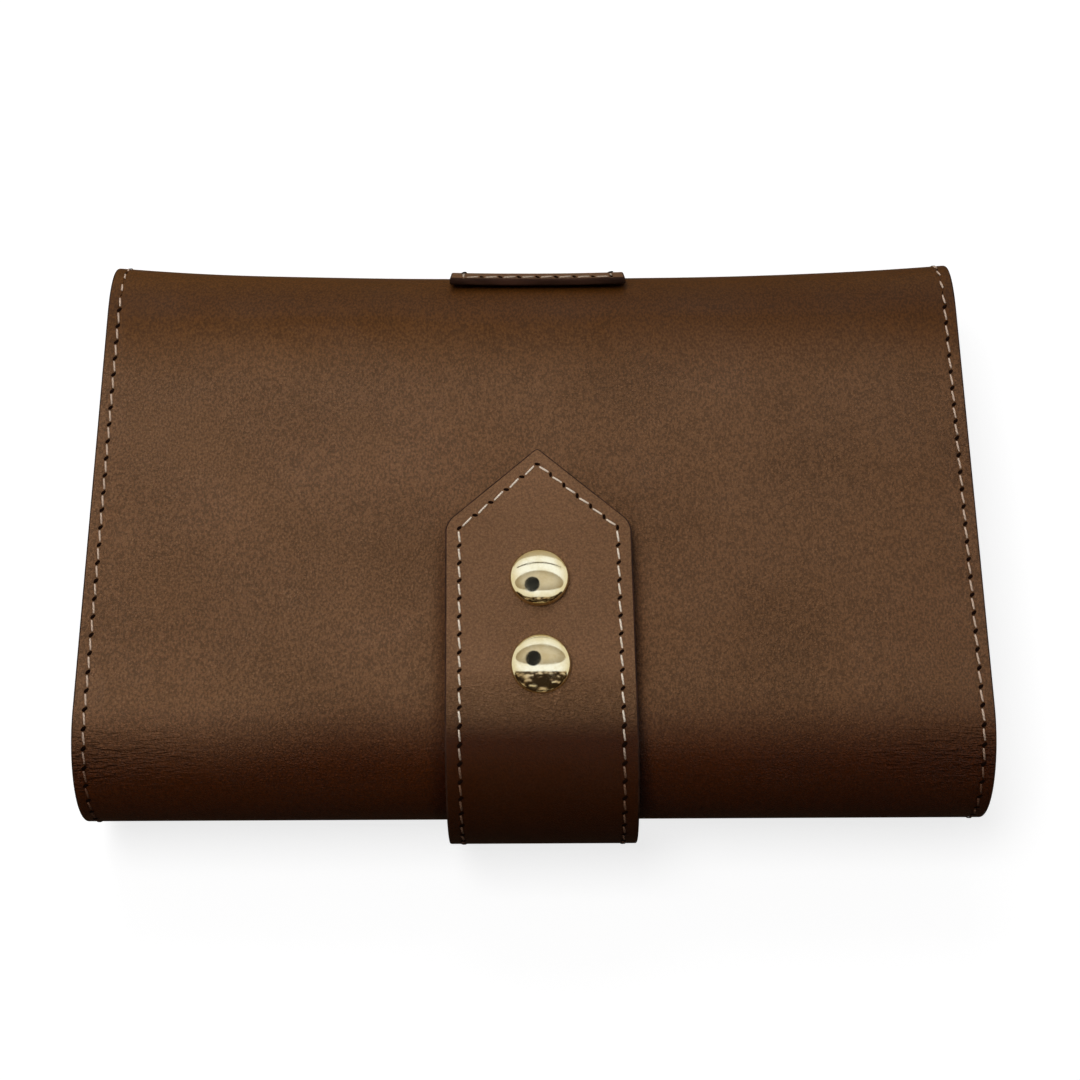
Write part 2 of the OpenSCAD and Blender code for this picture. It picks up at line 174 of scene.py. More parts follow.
class WalletFinish(bpy.types.PropertyGroup):
    """Colours of the finish."""

    leather: FloatVectorProperty(
        name="Leather",
        description="Colour of the outer leather",
        default=(0.189, 0.0966, 0.0469),
        subtype="COLOR",
    )
    lining: FloatVectorProperty(
        name="Lining",
        description="Colour of the lining leather",
        default=(0.235, 0.125, 0.058),
        subtype="COLOR",
    )
    edge_paint: FloatVectorProperty(
        name="Edge Paint",
        description="Colour of the painted edges",
        default=(0.024, 0.010, 0.006),
        subtype="COLOR",
    )
    thread: FloatVectorProperty(
        name="Thread",
        description="Colour of the sewing thread",
        default=(0.9, 0.78, 0.64),
        subtype="COLOR",
    )
    gold: FloatVectorProperty(
        name="Gold",
        description="Colour of the plated metal",
        default=(0.97, 0.93, 0.72),
        subtype="COLOR",
    )
    tape: FloatVectorProperty(
        name="Zip Tape",
        description="Colour of the woven zip tape",
        default=(0.055, 0.028, 0.014),
        subtype="COLOR",
    )


class WalletStage(bpy.types.PropertyGroup):
    """The camera, the lamps and the floor."""

    tilt: FloatProperty(
        name="Camera Tilt",
        description="Angle between the view and the front cover's normal, towards the spine",
        default=math.radians(22.75),
        subtype="ANGLE",
    )
    turn: FloatProperty(
        name="Camera Turn",
        description="Turn of the camera's place about the vertical",
        default=math.radians(-0.63),
        subtype="ANGLE",
    )
    roll: FloatProperty(
        name="Camera Roll",
        description="Roll of the camera about its view",
        default=math.radians(-0.34),
        subtype="ANGLE",
    )
    distance: FloatProperty(
        name="Camera Distance",
        description="Distance from the camera to the wallet's middle",
        default=0.4464,
        unit="LENGTH",
    )
    lens: FloatProperty(
        name="Lens",
        description="Focal length in millimetres on a 36 mm sensor",
        default=66.8,
    )
    key_power: FloatProperty(
        name="Key Light",
        description="Power of the large soft lamp in watts",
        default=10.5,
    )
    ambient: FloatProperty(
        name="Ambient",
        description="Strength of the world's light on matt surfaces",
        default=0.3,
    )


# ---------------------------------------------------------------- materials


class Tree:
    """A node tree under construction, with the nodes that the finishes have in common."""

    def __init__(self, owner):
        """Works on the tree of a material or a world."""
        owner.use_nodes = True
        self.nodes = owner.node_tree.nodes
        self.links = owner.node_tree.links

    def new(self, kind):
        return self.nodes.new("ShaderNode" + kind)

    def link(self, output, socket):
        self.links.new(output, socket)

    def put(self, value, socket):
        """Gives a socket a number, or links the output that drives it."""
        if isinstance(value, (int, float)):
            socket.default_value = value
        else:
            self.link(value, socket)

    def surface(self, **inputs):
        """Sets or drives inputs of the Principled shader, by their names."""
        bsdf = self.nodes["Principled BSDF"]
        for name, value in inputs.items():
            self.put(value, bsdf.inputs[name.replace("_", " ")])

    def place(self):
        """The Object coordinates, in metres."""
        return self.new("TexCoord").outputs["Object"]

    def axes(self):
        """The three Object coordinates, each on its own."""
        split = self.new("SeparateXYZ")
        self.link(self.place(), split.inputs["Vector"])
        return split.outputs["X"], split.outputs["Y"], split.outputs["Z"]

    def noise(self, scale, detail=3.0, rough=0.5, stretch=(1, 1, 1)):
        """A noise on Object coordinates; scale counts waves per metre."""
        mapping = self.new("Mapping")
        mapping.inputs["Scale"].default_value = stretch
        tex = self.new("TexNoise")
        tex.inputs["Scale"].default_value = scale
        tex.inputs["Detail"].default_value = detail
        tex.inputs["Roughness"].default_value = rough
        self.link(self.place(), mapping.inputs["Vector"])
        self.link(mapping.outputs["Vector"], tex.inputs["Vector"])
        return tex.outputs["Fac"]

    def wave(self, direction, scale, distortion=0.0):
        """Bands across one direction of the Object coordinates."""
        tex = self.new("TexWave")
        tex.bands_direction = direction
        tex.inputs["Scale"].default_value = scale
        tex.inputs["Distortion"].default_value = distortion
        self.link(self.place(), tex.inputs["Vector"])
        return tex.outputs["Fac"]

    def ranged(self, source, from_low, from_high, to_low=0.0, to_high=1.0):
        """Maps a value smoothly from one range to another."""
        node = self.new("MapRange")
        node.interpolation_type = "SMOOTHSTEP"
        node.inputs["From Min"].default_value = from_low
        node.inputs["From Max"].default_value = from_high
        node.inputs["To Min"].default_value = to_low
        node.inputs["To Max"].default_value = to_high
        self.link(source, node.inputs["Value"])
        return node.outputs["Result"]

    def calc(self, operation, *values):
        """A math node whose inputs are sockets or numbers."""
        node = self.new("Math")
        node.operation = operation
        for value, socket in zip(values, node.inputs):
            self.put(value, socket)
        return node.outputs[0]

    def away(self, source, middle):
        """How far a value lies from a middle one, on either side."""
        return self.calc("ABSOLUTE", self.calc("SUBTRACT", source, middle))

    def distance(self, vector, point=(0, 0, 0)):
        """How far a vector's end lies from a point."""
        node = self.new("VectorMath")
        node.operation = "DISTANCE"
        node.inputs[1].default_value = point
        self.link(vector, node.inputs[0])
        return node.outputs["Value"]

    def plain(self, kind, colour):
        """A shader of that kind in one colour."""
        node = self.new(kind)
        node.inputs["Color"].default_value = (*colour, 1)
        return node

    def mixer(self, blend, factor):
        """A node that mixes two colours by a factor."""
        mix = self.new("Mix")
        mix.data_type = "RGBA"
        mix.blend_type = blend
        self.link(factor, mix.inputs["Factor"])
        return mix

    def tinted(self, factor, dark, light):
        """A colour that runs from dark to light with a factor."""
        mix = self.mixer("MIX", factor)
        mix.inputs["A"].default_value = (*dark, 1)
        mix.inputs["B"].default_value = (*light, 1)
        return mix.outputs["Result"]

    def darkened(self, colour, *layers):
        """Darkens a colour where each layer's factor rises; some layers are a material's own tone,
        others painted shade.
        """
        for factor, depth in layers:
            mix = self.mixer("MULTIPLY", factor)
            mix.inputs["B"].default_value = (*depth, 1)
            self.link(colour, mix.inputs["A"])
            colour = mix.outputs["Result"]
        return colour

    def bump(self, height, distance):
        """The normal of a surface that rises by this distance where the height is 1."""
        bump = self.new("Bump")
        bump.inputs["Strength"].default_value = 1.0
        bump.inputs["Distance"].default_value = distance
        self.link(height, bump.inputs["Height"])
        return bump.outputs["Normal"]

    def pebbles(self, cell, patches):
        """Height of a pebbled grain whose cells have that size, deeper in some patches; with it
        comes a factor that rises in the valleys between the pebbles."""
        warp = self.noise(0.6 / cell, 2.0).node.outputs["Color"]
        offset = self.new("VectorMath")
        offset.operation = "MULTIPLY_ADD"
        offset.inputs[1].default_value = (cell * 0.8,) * 3
        self.link(warp, offset.inputs[0])
        self.link(self.place(), offset.inputs[2])
        cells = self.new("TexVoronoi")
        cells.feature = "DISTANCE_TO_EDGE"
        cells.inputs["Scale"].default_value = 1 / cell
        self.link(offset.outputs["Vector"], cells.inputs["Vector"])
        pebble = self.ranged(cells.outputs["Distance"], 0.0, 0.32)
        depth = self.ranged(self.noise(1 / patches, 2.0), 0.35, 0.68, 0.45, 0.92)
        pores = self.calc("MULTIPLY", self.noise(2.6 / cell, 3.0), 0.4)
        height = self.calc("ADD", self.calc("MULTIPLY", pebble, depth), pores)
        return height, self.calc("SUBTRACT", 1.0, pebble)

    def creases(self, start, end, scale, stretch):
        """Fine wrinkles along X where the leather bends, between two Y positions."""
        wrinkle = self.noise(scale, 3.0, 0.6, (stretch, 1, 1))
        ridge = self.ranged(self.away(wrinkle, 0.5), 0.0, 0.14)
        near = self.away(self.axes()[1], (start + end) / 2)
        return self.calc("MULTIPLY", ridge, self.ranged(near, abs(end - start) / 2, 0.0))

    def speckled(self, tone, scale, stretch, contrast):
        """A hide's colour: fine specks that darken and lighten it, over faint wide clouds."""
        speck = self.ranged(self.noise(scale, 1.0, 0.5, stretch), 0.3, 0.7)
        colour = self.tinted(speck, tone * (1 - contrast), tone * (1 + contrast))
        cloud = self.ranged(self.noise(20, 4.0, 0.55), 0.35, 0.65)
        return self.darkened(colour, (cloud, (0.95, 0.93, 0.9)))


def blank_tree(owner):
    """The tree of a new material or world, with nothing in it yet."""
    tree = Tree(owner)
    tree.nodes.clear()
    return tree


def cover_calf(tree, finish):
    """Smooth brown calf: pebbled grain in patches, with painted shade round the spine's fold and
    the lip, towards the right side and beside the strap.
    """
    x, y, _ = tree.axes()
    grain, valley = tree.pebbles(0.55 * MM, 30 * MM)
    # Painted shade round the spine's fold, which starts nearer the spine towards the left end
    late = tree.ranged(x, -35 * MM, -65 * MM, 0.0, 2.5 * MM)
    spine = tree.ranged(tree.calc("ADD", y, late), SPINE_Y + 5.5 * MM, SPINE_Y - 12 * MM)
    # Painted shade from the flat part onto the lip; the same mask also flattens the grain there
    lip = tree.ranged(y, LIP_Y - 18 * MM, LIP_Y + 0.5 * MM)
    # Painted shade in a band round the lip's crest
    crest = tree.ranged(tree.away(y, LIP_Y + 5 * MM), 8 * MM, 0.0)
    # Painted shade that deepens towards the right side, away from the lamps
    side = tree.ranged(x, -80 * MM, HALF_W)
    # Painted shadow along both sides of the strap, deepening towards the spine
    strap_shadow = tree.ranged(tree.away(x, STRAP_X), STRAP_W / 2 + 4 * MM, STRAP_W / 2)
    strap_shadow = tree.calc("MULTIPLY", strap_shadow, tree.ranged(y, 6 * MM, -20 * MM))
    colour = tree.darkened(
        tree.speckled(Vector(finish.leather), 1900, (1.2, 0.8, 1.0), 0.3),
        (valley, (0.82, 0.79, 0.75)),
        (spine, (0.36, 0.15, 0.01)),
        (lip, (0.54, 0.4, 0.15)),
        (crest, (0.79, 0.76, 0.77)),
        (side, (0.83, 0.79, 0.75)),
        (strap_shadow, (0.55, 0.46, 0.38)),
    )
    folds = tree.creases(SPINE_Y - 1 * MM, SPINE_Y - 17 * MM, 720, 0.2)
    ends = tree.ranged(tree.away(x, 0.0), HALF_W - 34 * MM, HALF_W, 0.27, 2.7)
    folds = tree.calc("MULTIPLY", folds, ends)
    grain = tree.calc("MULTIPLY", grain, tree.calc("MULTIPLY_ADD", lip, -0.85, 1.0))
    tree.surface(
        Base_Color=colour,
        Roughness=tree.ranged(tree.noise(60), 0.3, 0.7, 0.44, 0.56),
        Specular_IOR_Level=0.22,
        Normal=tree.bump(tree.calc("ADD", grain, folds), 0.18 * MM),
    )


def strap_calf(tree, finish):
    """The strap's leather: the covers' hide with a tighter, smoother grain, and painted shade round
    its bend.
    """
    grain, valley = tree.pebbles(0.45 * MM, 20 * MM)
    # Painted shade round the strap's bend over the spine
    spine = tree.ranged(tree.axes()[1], BEND_Y + 3.25 * MM, BEND_Y - 6 * MM)
    colour = tree.darkened(
        tree.speckled(Vector(finish.leather) * 1.1, 1900, (1, 1, 1), 0.2),
        (valley, (0.8, 0.77, 0.72)),
        (spine, (0.2, 0.085, 0.0)),
    )
    grain = tree.calc("MULTIPLY", grain, 0.6)
    folds = tree.creases(BEND_Y + 12 * MM, BEND_Y - 8 * MM, 1300, 0.5)
    folds = tree.calc("MULTIPLY", folds, 2.2)
    tree.surface(
        Base_Color=colour,
        Roughness=0.5,
        Specular_IOR_Level=0.22,
        Normal=tree.bump(tree.calc("ADD", grain, folds), 0.14 * MM),
    )


def lining_calf(tree, finish):
    """Lighter lining leather with a finer grain and a dry surface."""
    tone = Vector(finish.lining)
    cloud = tree.ranged(tree.noise(40, 4.0), 0.3, 0.7)
    grain, _ = tree.pebbles(0.45 * MM, 18 * MM)
    tree.surface(
        Base_Color=tree.tinted(cloud, tone * 0.85, tone * 1.12),
        Roughness=0.68,
        Specular_IOR_Level=0.3,
        Normal=tree.bump(grain, 0.03 * MM),
    )


def painted_edge(tree, finish):
    """Dark paint on cut edges, brushed on in thin uneven coats."""
    tone = Vector(finish.edge_paint)
    coats = tree.noise(300, stretch=(0.3, 1, 1))
    tree.surface(
        Base_Color=tree.tinted(tree.ranged(coats, 0.3, 0.75), tone * 0.7, tone * 2.2),
        Roughness=0.5,
        Specular_IOR_Level=0.12,
        Normal=tree.bump(coats, 0.06 * MM),
    )


def waxed_thread(tree, finish):
    """Waxed thread whose twist shows as fine slanted ridges; painted shade darkens it most round
    the strap's bend, and it is darker on the covers and the squared end than on the strap."""
    tone = Vector(finish.thread)
    twist = tree.wave("DIAGONAL", 700, 1.5)
    x, y, _ = tree.axes()
    # Painted shade on the thread round the strap's bend, as on the leather there
    bend_shade = tree.ranged(y, BEND_Y + 2 * MM, BEND_Y - 13 * MM)
    side = tree.ranged(tree.away(x, 0.0), 40 * MM, 80 * MM)
    tab = tree.calc("SUBTRACT", tree.ranged(y, LIP_Y - 4 * MM, LIP_Y + 4 * MM), side)
    colour = tree.darkened(
        tree.tinted(twist, tone * 0.85, tone * 1.1),
        (bend_shade, (0.23, 0.14, 0.1)),
        (side, (0.73, 0.63, 0.585)),
        (tab, (0.52, 0.485, 0.455)),
    )
    tree.surface(
        Base_Color=colour,
        Roughness=0.6,
        Specular_IOR_Level=0.3,
        Normal=tree.bump(twist, 0.06 * MM),
    )


def needle_hole(tree, finish):
    """The mark at each end of a stitch where the needle went through, dark with painted shade in
    the hole.
    """
    tone = Vector(finish.edge_paint)
    fibre = tree.noise(1500, 2.0)
    tree.surface(
        Base_Color=tree.tinted(fibre, tone * 0.15, tone * 0.5),
        Roughness=0.9,
        Specular_IOR_Level=0.05,
    )


def gold_plate(tree, finish):
    """Polished plating with faint wear marks; returns its colour, which is still to be linked."""
    tone = Vector(finish.gold)
    haze = tree.noise(500)
    tree.surface(
        Metallic=1.0,
        Roughness=tree.ranged(haze, 0.35, 0.75, 0.06, 0.13),
        Normal=tree.bump(tree.noise(1800, 2.0, stretch=(1, 0.08, 1)), 0.002 * MM),
    )
    return tree.tinted(haze, tone * 0.95, tone * 1.04)


def pale_gold(tree, finish):
    """Polished pale gold plating."""
    tree.surface(Base_Color=gold_plate(tree, finish))


def cap_gold(tree, finish):
    """The caps' plating, with painted shade towards their rims, and tarnished in a few blotches."""
    nearest = tree.calc("MINIMUM", *(
        tree.distance(tree.place(), lean(Vector((STRAP_X, y, STRAP_TOP)))) for y in SNAP_Y
    ))
    # Painted shade on the plating towards each cap's rim
    rim = tree.ranged(nearest, 0.66 * SNAP_D / 2, 1.02 * SNAP_D / 2)
    blotch = tree.ranged(tree.noise(330, 4.0, 0.6), 0.42, 0.66)
    tree.surface(Base_Color=tree.darkened(
        gold_plate(tree, finish), (rim, (0.76, 0.68, 0.5)), (blotch, (0.93, 0.89, 0.8)),
    ))


def zip_weave(tree, finish):
    """Woven zip tape: a fine over-and-under weave."""
    tone = Vector(finish.tape)
    weave = tree.calc("MULTIPLY", tree.wave("X", 320), tree.wave("Z", 320))
    tree.surface(
        Base_Color=tree.tinted(weave, tone * 0.6, tone * 1.5),
        Roughness=0.85,
        Specular_IOR_Level=0.2,
        Normal=tree.bump(weave, 0.12 * MM),
    )


MAKERS = {maker.__name__: maker for maker in (
    cover_calf, strap_calf, lining_calf, painted_edge, waxed_thread, needle_hole, pale_gold,
    cap_gold, zip_weave,
)}


def material(name):
    """The finish of that name, made the first time that it is asked for."""
    mat = bpy.data.materials.get(name)
    if mat is None:
        mat = bpy.data.materials.new(name)
        MAKERS[name](Tree(mat), bpy.context.scene.wallet_finish)
    return mat


# ------------------------------------------------------------- mesh helpers


# A leather piece's two materials by index: its grain side and its cut edges
GRAIN, PAINTED = 0, 1
# How the sheets are divided: columns across them, and steps along each of their stretches
COVER_GRID = (90, 44)
LINING_GRID = (40, 30)
STRAP_GRID = (16, 40)
TAB_GRID = (24, 60)
# How near the middle of a cut edge lies to a joint's plane when it only meets more leather there
JOINT_NEAR = 0.2 * MM
# Half the width of the groove that a seam presses into leather
SEAM_GROOVE = 0.45 * MM


def smoothed(mesh, sharp=35):
    """Shades a mesh smooth, but for edges sharper than that angle in degrees."""
    mesh.shade_smooth()
    mesh.set_sharp_from_angle(angle=math.radians(sharp))


def finished(bm, name, materials, sharp=35):
    """Turns a bmesh into a smooth-shaded object with its materials."""
    mesh = bpy.data.meshes.new(name)
    bm.to_mesh(mesh)
    bm.free()
    for m in materials:
        mesh.materials.append(material(m))
    smoothed(mesh, sharp)
    obj = bpy.data.objects.new(name, mesh)
    bpy.context.scene.collection.objects.link(obj)
    return obj


def chain(bm, verts):
    """Joins vertices with edges, one after the other."""
    return [bm.edges.new(pair) for pair in zip(verts, verts[1:])]


def first_row(bm, places, place, inward, seams=(), dip=0.0):
    """A row of vertices along X, joined by edges and pulled inwards where a seam runs."""
    place, pull = Vector(place), Vector(inward) * dip
    verts = [
        bm.verts.new(place + Vector((x, 0, 0)) + (pull if x in seams else Vector()))
        for x in places
    ]
    return chain(bm, verts)


def columns(low, high, count, seams=()):
    """X positions across a piece: even steps, and three lines close together at each seam."""
    even = [low + (high - low) * i / count for i in range(count + 1)]
    clear = [x for x in even if all(abs(x - seam) > 1.6 * SEAM_GROOVE for seam in seams)]
    lines = [seam + step * SEAM_GROOVE for seam in seams for step in (-1, 0, 1)]
    return sorted(clear + lines)


def run_straight(bm, edges, reach, steps):
    """Extrudes a row along a vector in equal steps and returns the last row."""
    for _ in range(steps):
        out = bmesh.ops.extrude_edge_only(bm, edges=edges)["geom"]
        verts = [g for g in out if isinstance(g, bmesh.types.BMVert)]
        edges = [g for g in out if isinstance(g, bmesh.types.BMEdge)]
        bmesh.ops.translate(bm, verts=verts, vec=reach / steps)
    return edges


def run_round(bm, edges, centre_y, centre_z, degrees, steps):
    """Spins a row round an axis along X and returns the last row."""
    verts = list({v for e in edges for v in e.verts})
    out = bmesh.ops.spin(
        bm, geom=verts + edges, cent=(0, centre_y, centre_z), axis=(1, 0, 0),
        dvec=(0, 0, 0), angle=math.radians(degrees), steps=steps, use_duplicate=False,
    )["geom_last"]
    return [g for g in out if isinstance(g, bmesh.types.BMEdge)]


def face_away(bm, centre):
    """Turns a sheet's faces so that they look away from a point."""
    bmesh.ops.recalc_face_normals(bm, faces=bm.faces[:])
    bm.normal_update()
    away = sum(f.normal.dot(f.calc_center_median() - centre) for f in bm.faces)
    if away < 0:
        bmesh.ops.reverse_faces(bm, faces=bm.faces[:])
        bm.normal_update()


def bevelled(bm, geom, offset, segments, affect="EDGES", material=-1, clamp=False):
    """Rounds edges or corners and returns the new faces."""
    return bmesh.ops.bevel(
        bm, geom=geom, offset=offset, offset_type="OFFSET", segments=segments, profile=0.5,
        affect=affect, material=material, clamp_overlap=clamp,
    )["faces"]


def thicken(bm, thickness, is_joint, edge_round):
    """Gives a sheet its thickness below its faces, then rounds and paints its cut edges.
    is_joint says which cut edges only meet another part of the same leather."""
    upper = set(bm.faces)
    out = bmesh.ops.extrude_face_region(bm, geom=bm.faces[:], use_keep_orig=True)["geom"]
    lower = {g for g in out if isinstance(g, bmesh.types.BMFace)}
    moves = [(g, g.normal.copy()) for g in out if isinstance(g, bmesh.types.BMVert)]
    for vert, normal in moves:
        vert.co -= normal * thickness
    walls = {f for f in bm.faces if f not in upper and f not in lower}
    rims = []
    for wall in walls:
        wall.normal_update()
        joint = abs(wall.normal.x) < 0.5 and is_joint(wall.calc_center_median())
        wall.material_index = GRAIN if joint else PAINTED
        if not joint:
            rims += [e for e in wall.edges if sum(f in walls for f in e.link_faces) == 1]
    bmesh.ops.recalc_face_normals(bm, faces=bm.faces[:])
    if edge_round > 0:
        bevelled(bm, list(set(rims)), edge_round, 3, material=PAINTED, clamp=True)


def smooth_step(t):
    """Runs smoothly from 0 to 1 while t does."""
    t = min(1.0, max(0.0, t))
    return t * t * (3 - 2 * t)


# How deep the strap pulls the lip's middle in, and the leather's faint waves
LIP_SINK = 0.4 * MM
WAVE_H = 0.35 * MM
WAVES_PER_M = 28
# The squared end of the strap: the angle on the lip from which it is too stiff to follow it, the
# way in which it is pressed in, and by how many millimetres, everywhere and more at its middle
STIFF_FROM = math.radians(38)
TAB_IN = Vector((0, -0.4, -0.917))
TAB_PRESS = 0.2
TAB_PRESS_MIDDLE = 0.3


def settle(co):
    """Where a point of the covers comes to lie: the lip's corners flare, its middle is
    pulled in by the strap, and the leather lies a little unevenly."""
    sizes = bpy.context.scene.wallet_sizes
    side = abs(co.x) / HALF_W
    moved = co.copy()
    if co.y > LIP_Y:
        angle = math.degrees(math.atan2(co.z - MID_Z, co.y - LIP_Y))
        weight = smooth_step((90 - angle) / 55) * smooth_step((angle + 60) / 60)
        out = Vector((0, co.y - LIP_Y, co.z - MID_Z)).normalized()
        moved += out * weight * (sizes.lip_flare * side ** 3 - LIP_SINK * (1 - side ** 2))
    if co.z > MID_Z:
        wave = noise.noise(co * WAVES_PER_M) * WAVE_H
        moved.z += wave * smooth_step((1 - side) * 12)
    return moved


def stiffen(co):
    """Where a point of the strap's squared end would lie on a plain lip: the end runs on
    straight from where it gets too stiff."""
    middle = Vector((0, LIP_Y, MID_Z))
    angle = math.atan2(co.z - MID_Z, co.y - LIP_Y)
    if angle < STIFF_FROM:
        return co.copy()
    out = Vector((0, math.cos(STIFF_FROM), math.sin(STIFF_FROM)))
    way = Vector((0, -math.sin(STIFF_FROM), math.cos(STIFF_FROM)))
    reach = math.hypot(co.y - LIP_Y, co.z - MID_Z)
    moved = middle + out * reach + way * FOLD_R * (angle - STIFF_FROM)
    moved.x = co.x
    return moved


def settle_tab(co):
    """Where a point of the squared end comes to lie, pushed in most at its middle."""
    off = (co.x - STRAP_X) / (STRAP_W / 2)
    press = TAB_PRESS + TAB_PRESS_MIDDLE * (1 - off ** 2)
    return settle(stiffen(co)) + TAB_IN * press * MM


# --------------------------------------------------------------- paths


def line_run(start, end):
    """A straight stretch of a path in the Y-Z plane."""
    start, end = Vector(start), Vector(end)
    way = (end - start).normalized()
    return (end - start).length, lambda s: (start + way * s, way)


def arc_run(centre, radius, start, end):
    """A round stretch of a path in the Y-Z plane, from one angle to another."""
    sign = 1 if end > start else -1
    centre = Vector(centre)

    def at(s):
        a = math.radians(start) + sign * s / radius
        out = Vector((math.cos(a), math.sin(a)))
        return centre + out * radius, Vector((-out.y, out.x)) * sign

    return radius * math.radians(abs(end - start)), at


def walk(runs, s):
    """Place, direction and outward normal after a distance along a path."""
    for length, at in runs:
        if s <= length + 1e-9:
            place, way = at(s)
            return place, way, Vector((-way.y, way.x))
        s -= length
    place, way = runs[-1][1](runs[-1][0])
    return place, way, Vector((-way.y, way.x))


def path_length(runs):
    """The whole length of a path."""
    return sum(length for length, _ in runs)


# The covers' outline and the strap's, as paths in the Y-Z plane
BACK_RUN = [
    line_run((BACK_END_Y, BACK_Z), (SPINE_Y, BACK_Z)),
    arc_run((SPINE_Y, MID_Z), FOLD_R, 270, 180),
]
FRONT_RUN = [
    arc_run((SPINE_Y, MID_Z), FOLD_R, 180, 90),
    line_run((SPINE_Y, FRONT_Z), (LIP_Y, FRONT_Z)),
    arc_run((LIP_Y, MID_Z), FOLD_R, 90, -math.degrees(LIP_DROP)),
]
# Where the strap's bend ends, in degrees round its middle from the mouth's side, and the stretch
# after it over which the strap lifts off
STRAP_TURN = 97
TURN_END = Vector((0, BEND_Y + BEND_R * math.cos(math.radians(STRAP_TURN)),
                   BEND_R + BEND_R * math.sin(math.radians(STRAP_TURN))))
LIFT_RUN = 4.3 * MM
TAB_R = FOLD_R + TAB_T
TAB_TOP = math.asin((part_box("lip_tab_leather")[1].z - MID_Z) / TAB_R)
STRAP_BACK_RUN = [
    line_run((BACK_END_Y, 0), (BEND_Y, 0)),
    arc_run((BEND_Y, BEND_R), BEND_R, 270, 180),
]
STRAP_SPINE_RUN = [arc_run((BEND_Y, BEND_R), BEND_R, 180, STRAP_TURN)]

# The thread of a stitch: the share of its length that shows, the share of its radius that its
# middle lies above the leather, and the share of the seam's dip that it sinks with the leather
THREAD_SHARE = 0.64
THREAD_LIFT = 0.3
THREAD_SINK = 0.7
# The mark of the needle between two stitches: half its sizes, its lift and its turn
HOLE_HALF = (0.72 * MM, 0.4 * MM, 0.12 * MM)
HOLE_LIFT = 0.09 * MM
HOLE_TURN = -math.radians(48)
SEWN = ("waxed_thread", "needle_hole")


def stitch_marks(count, length):
    """Middles of equal stitches along a seam."""
    return [(i + 0.5) * length / count for i in range(count)]


def stitch_shape(length, sizes):
    """One stitch along X: slanted thread that dives in at both ends, and the needle hole."""
    bm = bmesh.new()
    half = length * THREAD_SHARE / 2
    radius = sizes.thread_d / 2
    lengthwise = Matrix.Rotation(math.radians(90), 4, "Y")
    verts = bmesh.ops.create_uvsphere(
        bm, u_segments=8, v_segments=6, radius=radius, matrix=lengthwise)["verts"]
    for vert in verts:
        ahead = (vert.co.x > radius / 9) - (vert.co.x < -radius / 9)
        vert.co.x += ahead * (half - radius)
    slant = Matrix.Rotation(sizes.stitch_slant, 4, "Z")
    lift = Matrix.Translation((0, 0, radius * THREAD_LIFT))
    bmesh.ops.transform(bm, verts=verts, matrix=lift @ slant)
    spot = Matrix.Translation((length / 2, 0, HOLE_LIFT)) @ Matrix.Rotation(HOLE_TURN, 4, "Z")
    size = Matrix.Diagonal((*HOLE_HALF, 1))
    verts = bmesh.ops.create_uvsphere(
        bm, u_segments=8, v_segments=4, radius=1.0, matrix=spot @ size)["verts"]
    for face in {f for v in verts for f in v.link_faces}:
        face.material_index = 1
    shape = bpy.data.meshes.new("stitch")
    bm.to_mesh(shape)
    bm.free()
    return shape


def sew_points(bm, marks, length, sizes):
    """Lays one stitch of that length at each mark: its place, its way and its outward side."""
    shape = stitch_shape(length, sizes)
    for place, way, out in marks:
        axes = Matrix((way, out.cross(way), out)).transposed().to_4x4()
        stitch = shape.copy()
        stitch.transform(Matrix.Translation(place) @ axes)
        bm.from_mesh(stitch)
        bpy.data.meshes.remove(stitch)
    bpy.data.meshes.remove(shape)


def sew_runs(bm, runs, x_places, sizes, moved):
    """Sews a seam along a path in the Y-Z plane at each of these X positions. moved says where
    a point of the leather comes to lie."""
    total = path_length(runs)
    count = max(1, round(total / sizes.stitch_pitch))
    marks = []
    for x in x_places:
        for s in stitch_marks(count, total):
            place, way, out = walk(runs, s)
            point = moved(Vector((x, place.x, place.y)))
            out = Vector((0, out.x, out.y))
            point -= out * sizes.seam_dip * THREAD_SINK
            marks.append((point, Vector((0, way.x, way.y)), out))
    sew_points(bm, marks, total / count, sizes)


def sew_line(bm, start, end, out, sizes):
    """Sews a straight seam between two points of a flat face."""
    start, end, out = Vector(start), Vector(end), Vector(out)
    way = (end - start).normalized()
    total = (end - start).length
    count = max(1, round(total / sizes.stitch_pitch))
    sink = out * sizes.seam_dip * THREAD_SINK
    marks = [(start + way * s - sink, way, out) for s in stitch_marks(count, total)]
    sew_points(bm, marks, total / count, sizes)


def sewn(bm, name):
    """Finishes a piece that is all stitches."""
    return finished(bm, name, SEWN, sharp=60)


def strap_seams(sizes):
    """X positions of the strap's two seams."""
    return STRAP_LOW.x + sizes.strap_seam, STRAP_HIGH.x - sizes.strap_seam


# --------------------------------------------------------------- operators


# A point inside the covers, from which their outer faces look away
INSIDE = Vector((0, (SPINE_Y + LIP_Y) / 2, MID_Z))


def cover_joint(centre):
    """The two lengths of cover leather are one hide, so they meet unpainted on the spine."""
    return abs(centre.z - MID_Z) < JOINT_NEAR and centre.y < SPINE_Y


def blend_back(piece):
    """Bakes into its mesh the transform of a piece at the fold between the back cover and the
    spine.
    """
    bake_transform(piece)


def blend_front(piece):
    """Bakes into its mesh the transform of a piece at the fold between the spine and the front
    cover.
    """
    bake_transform(piece)


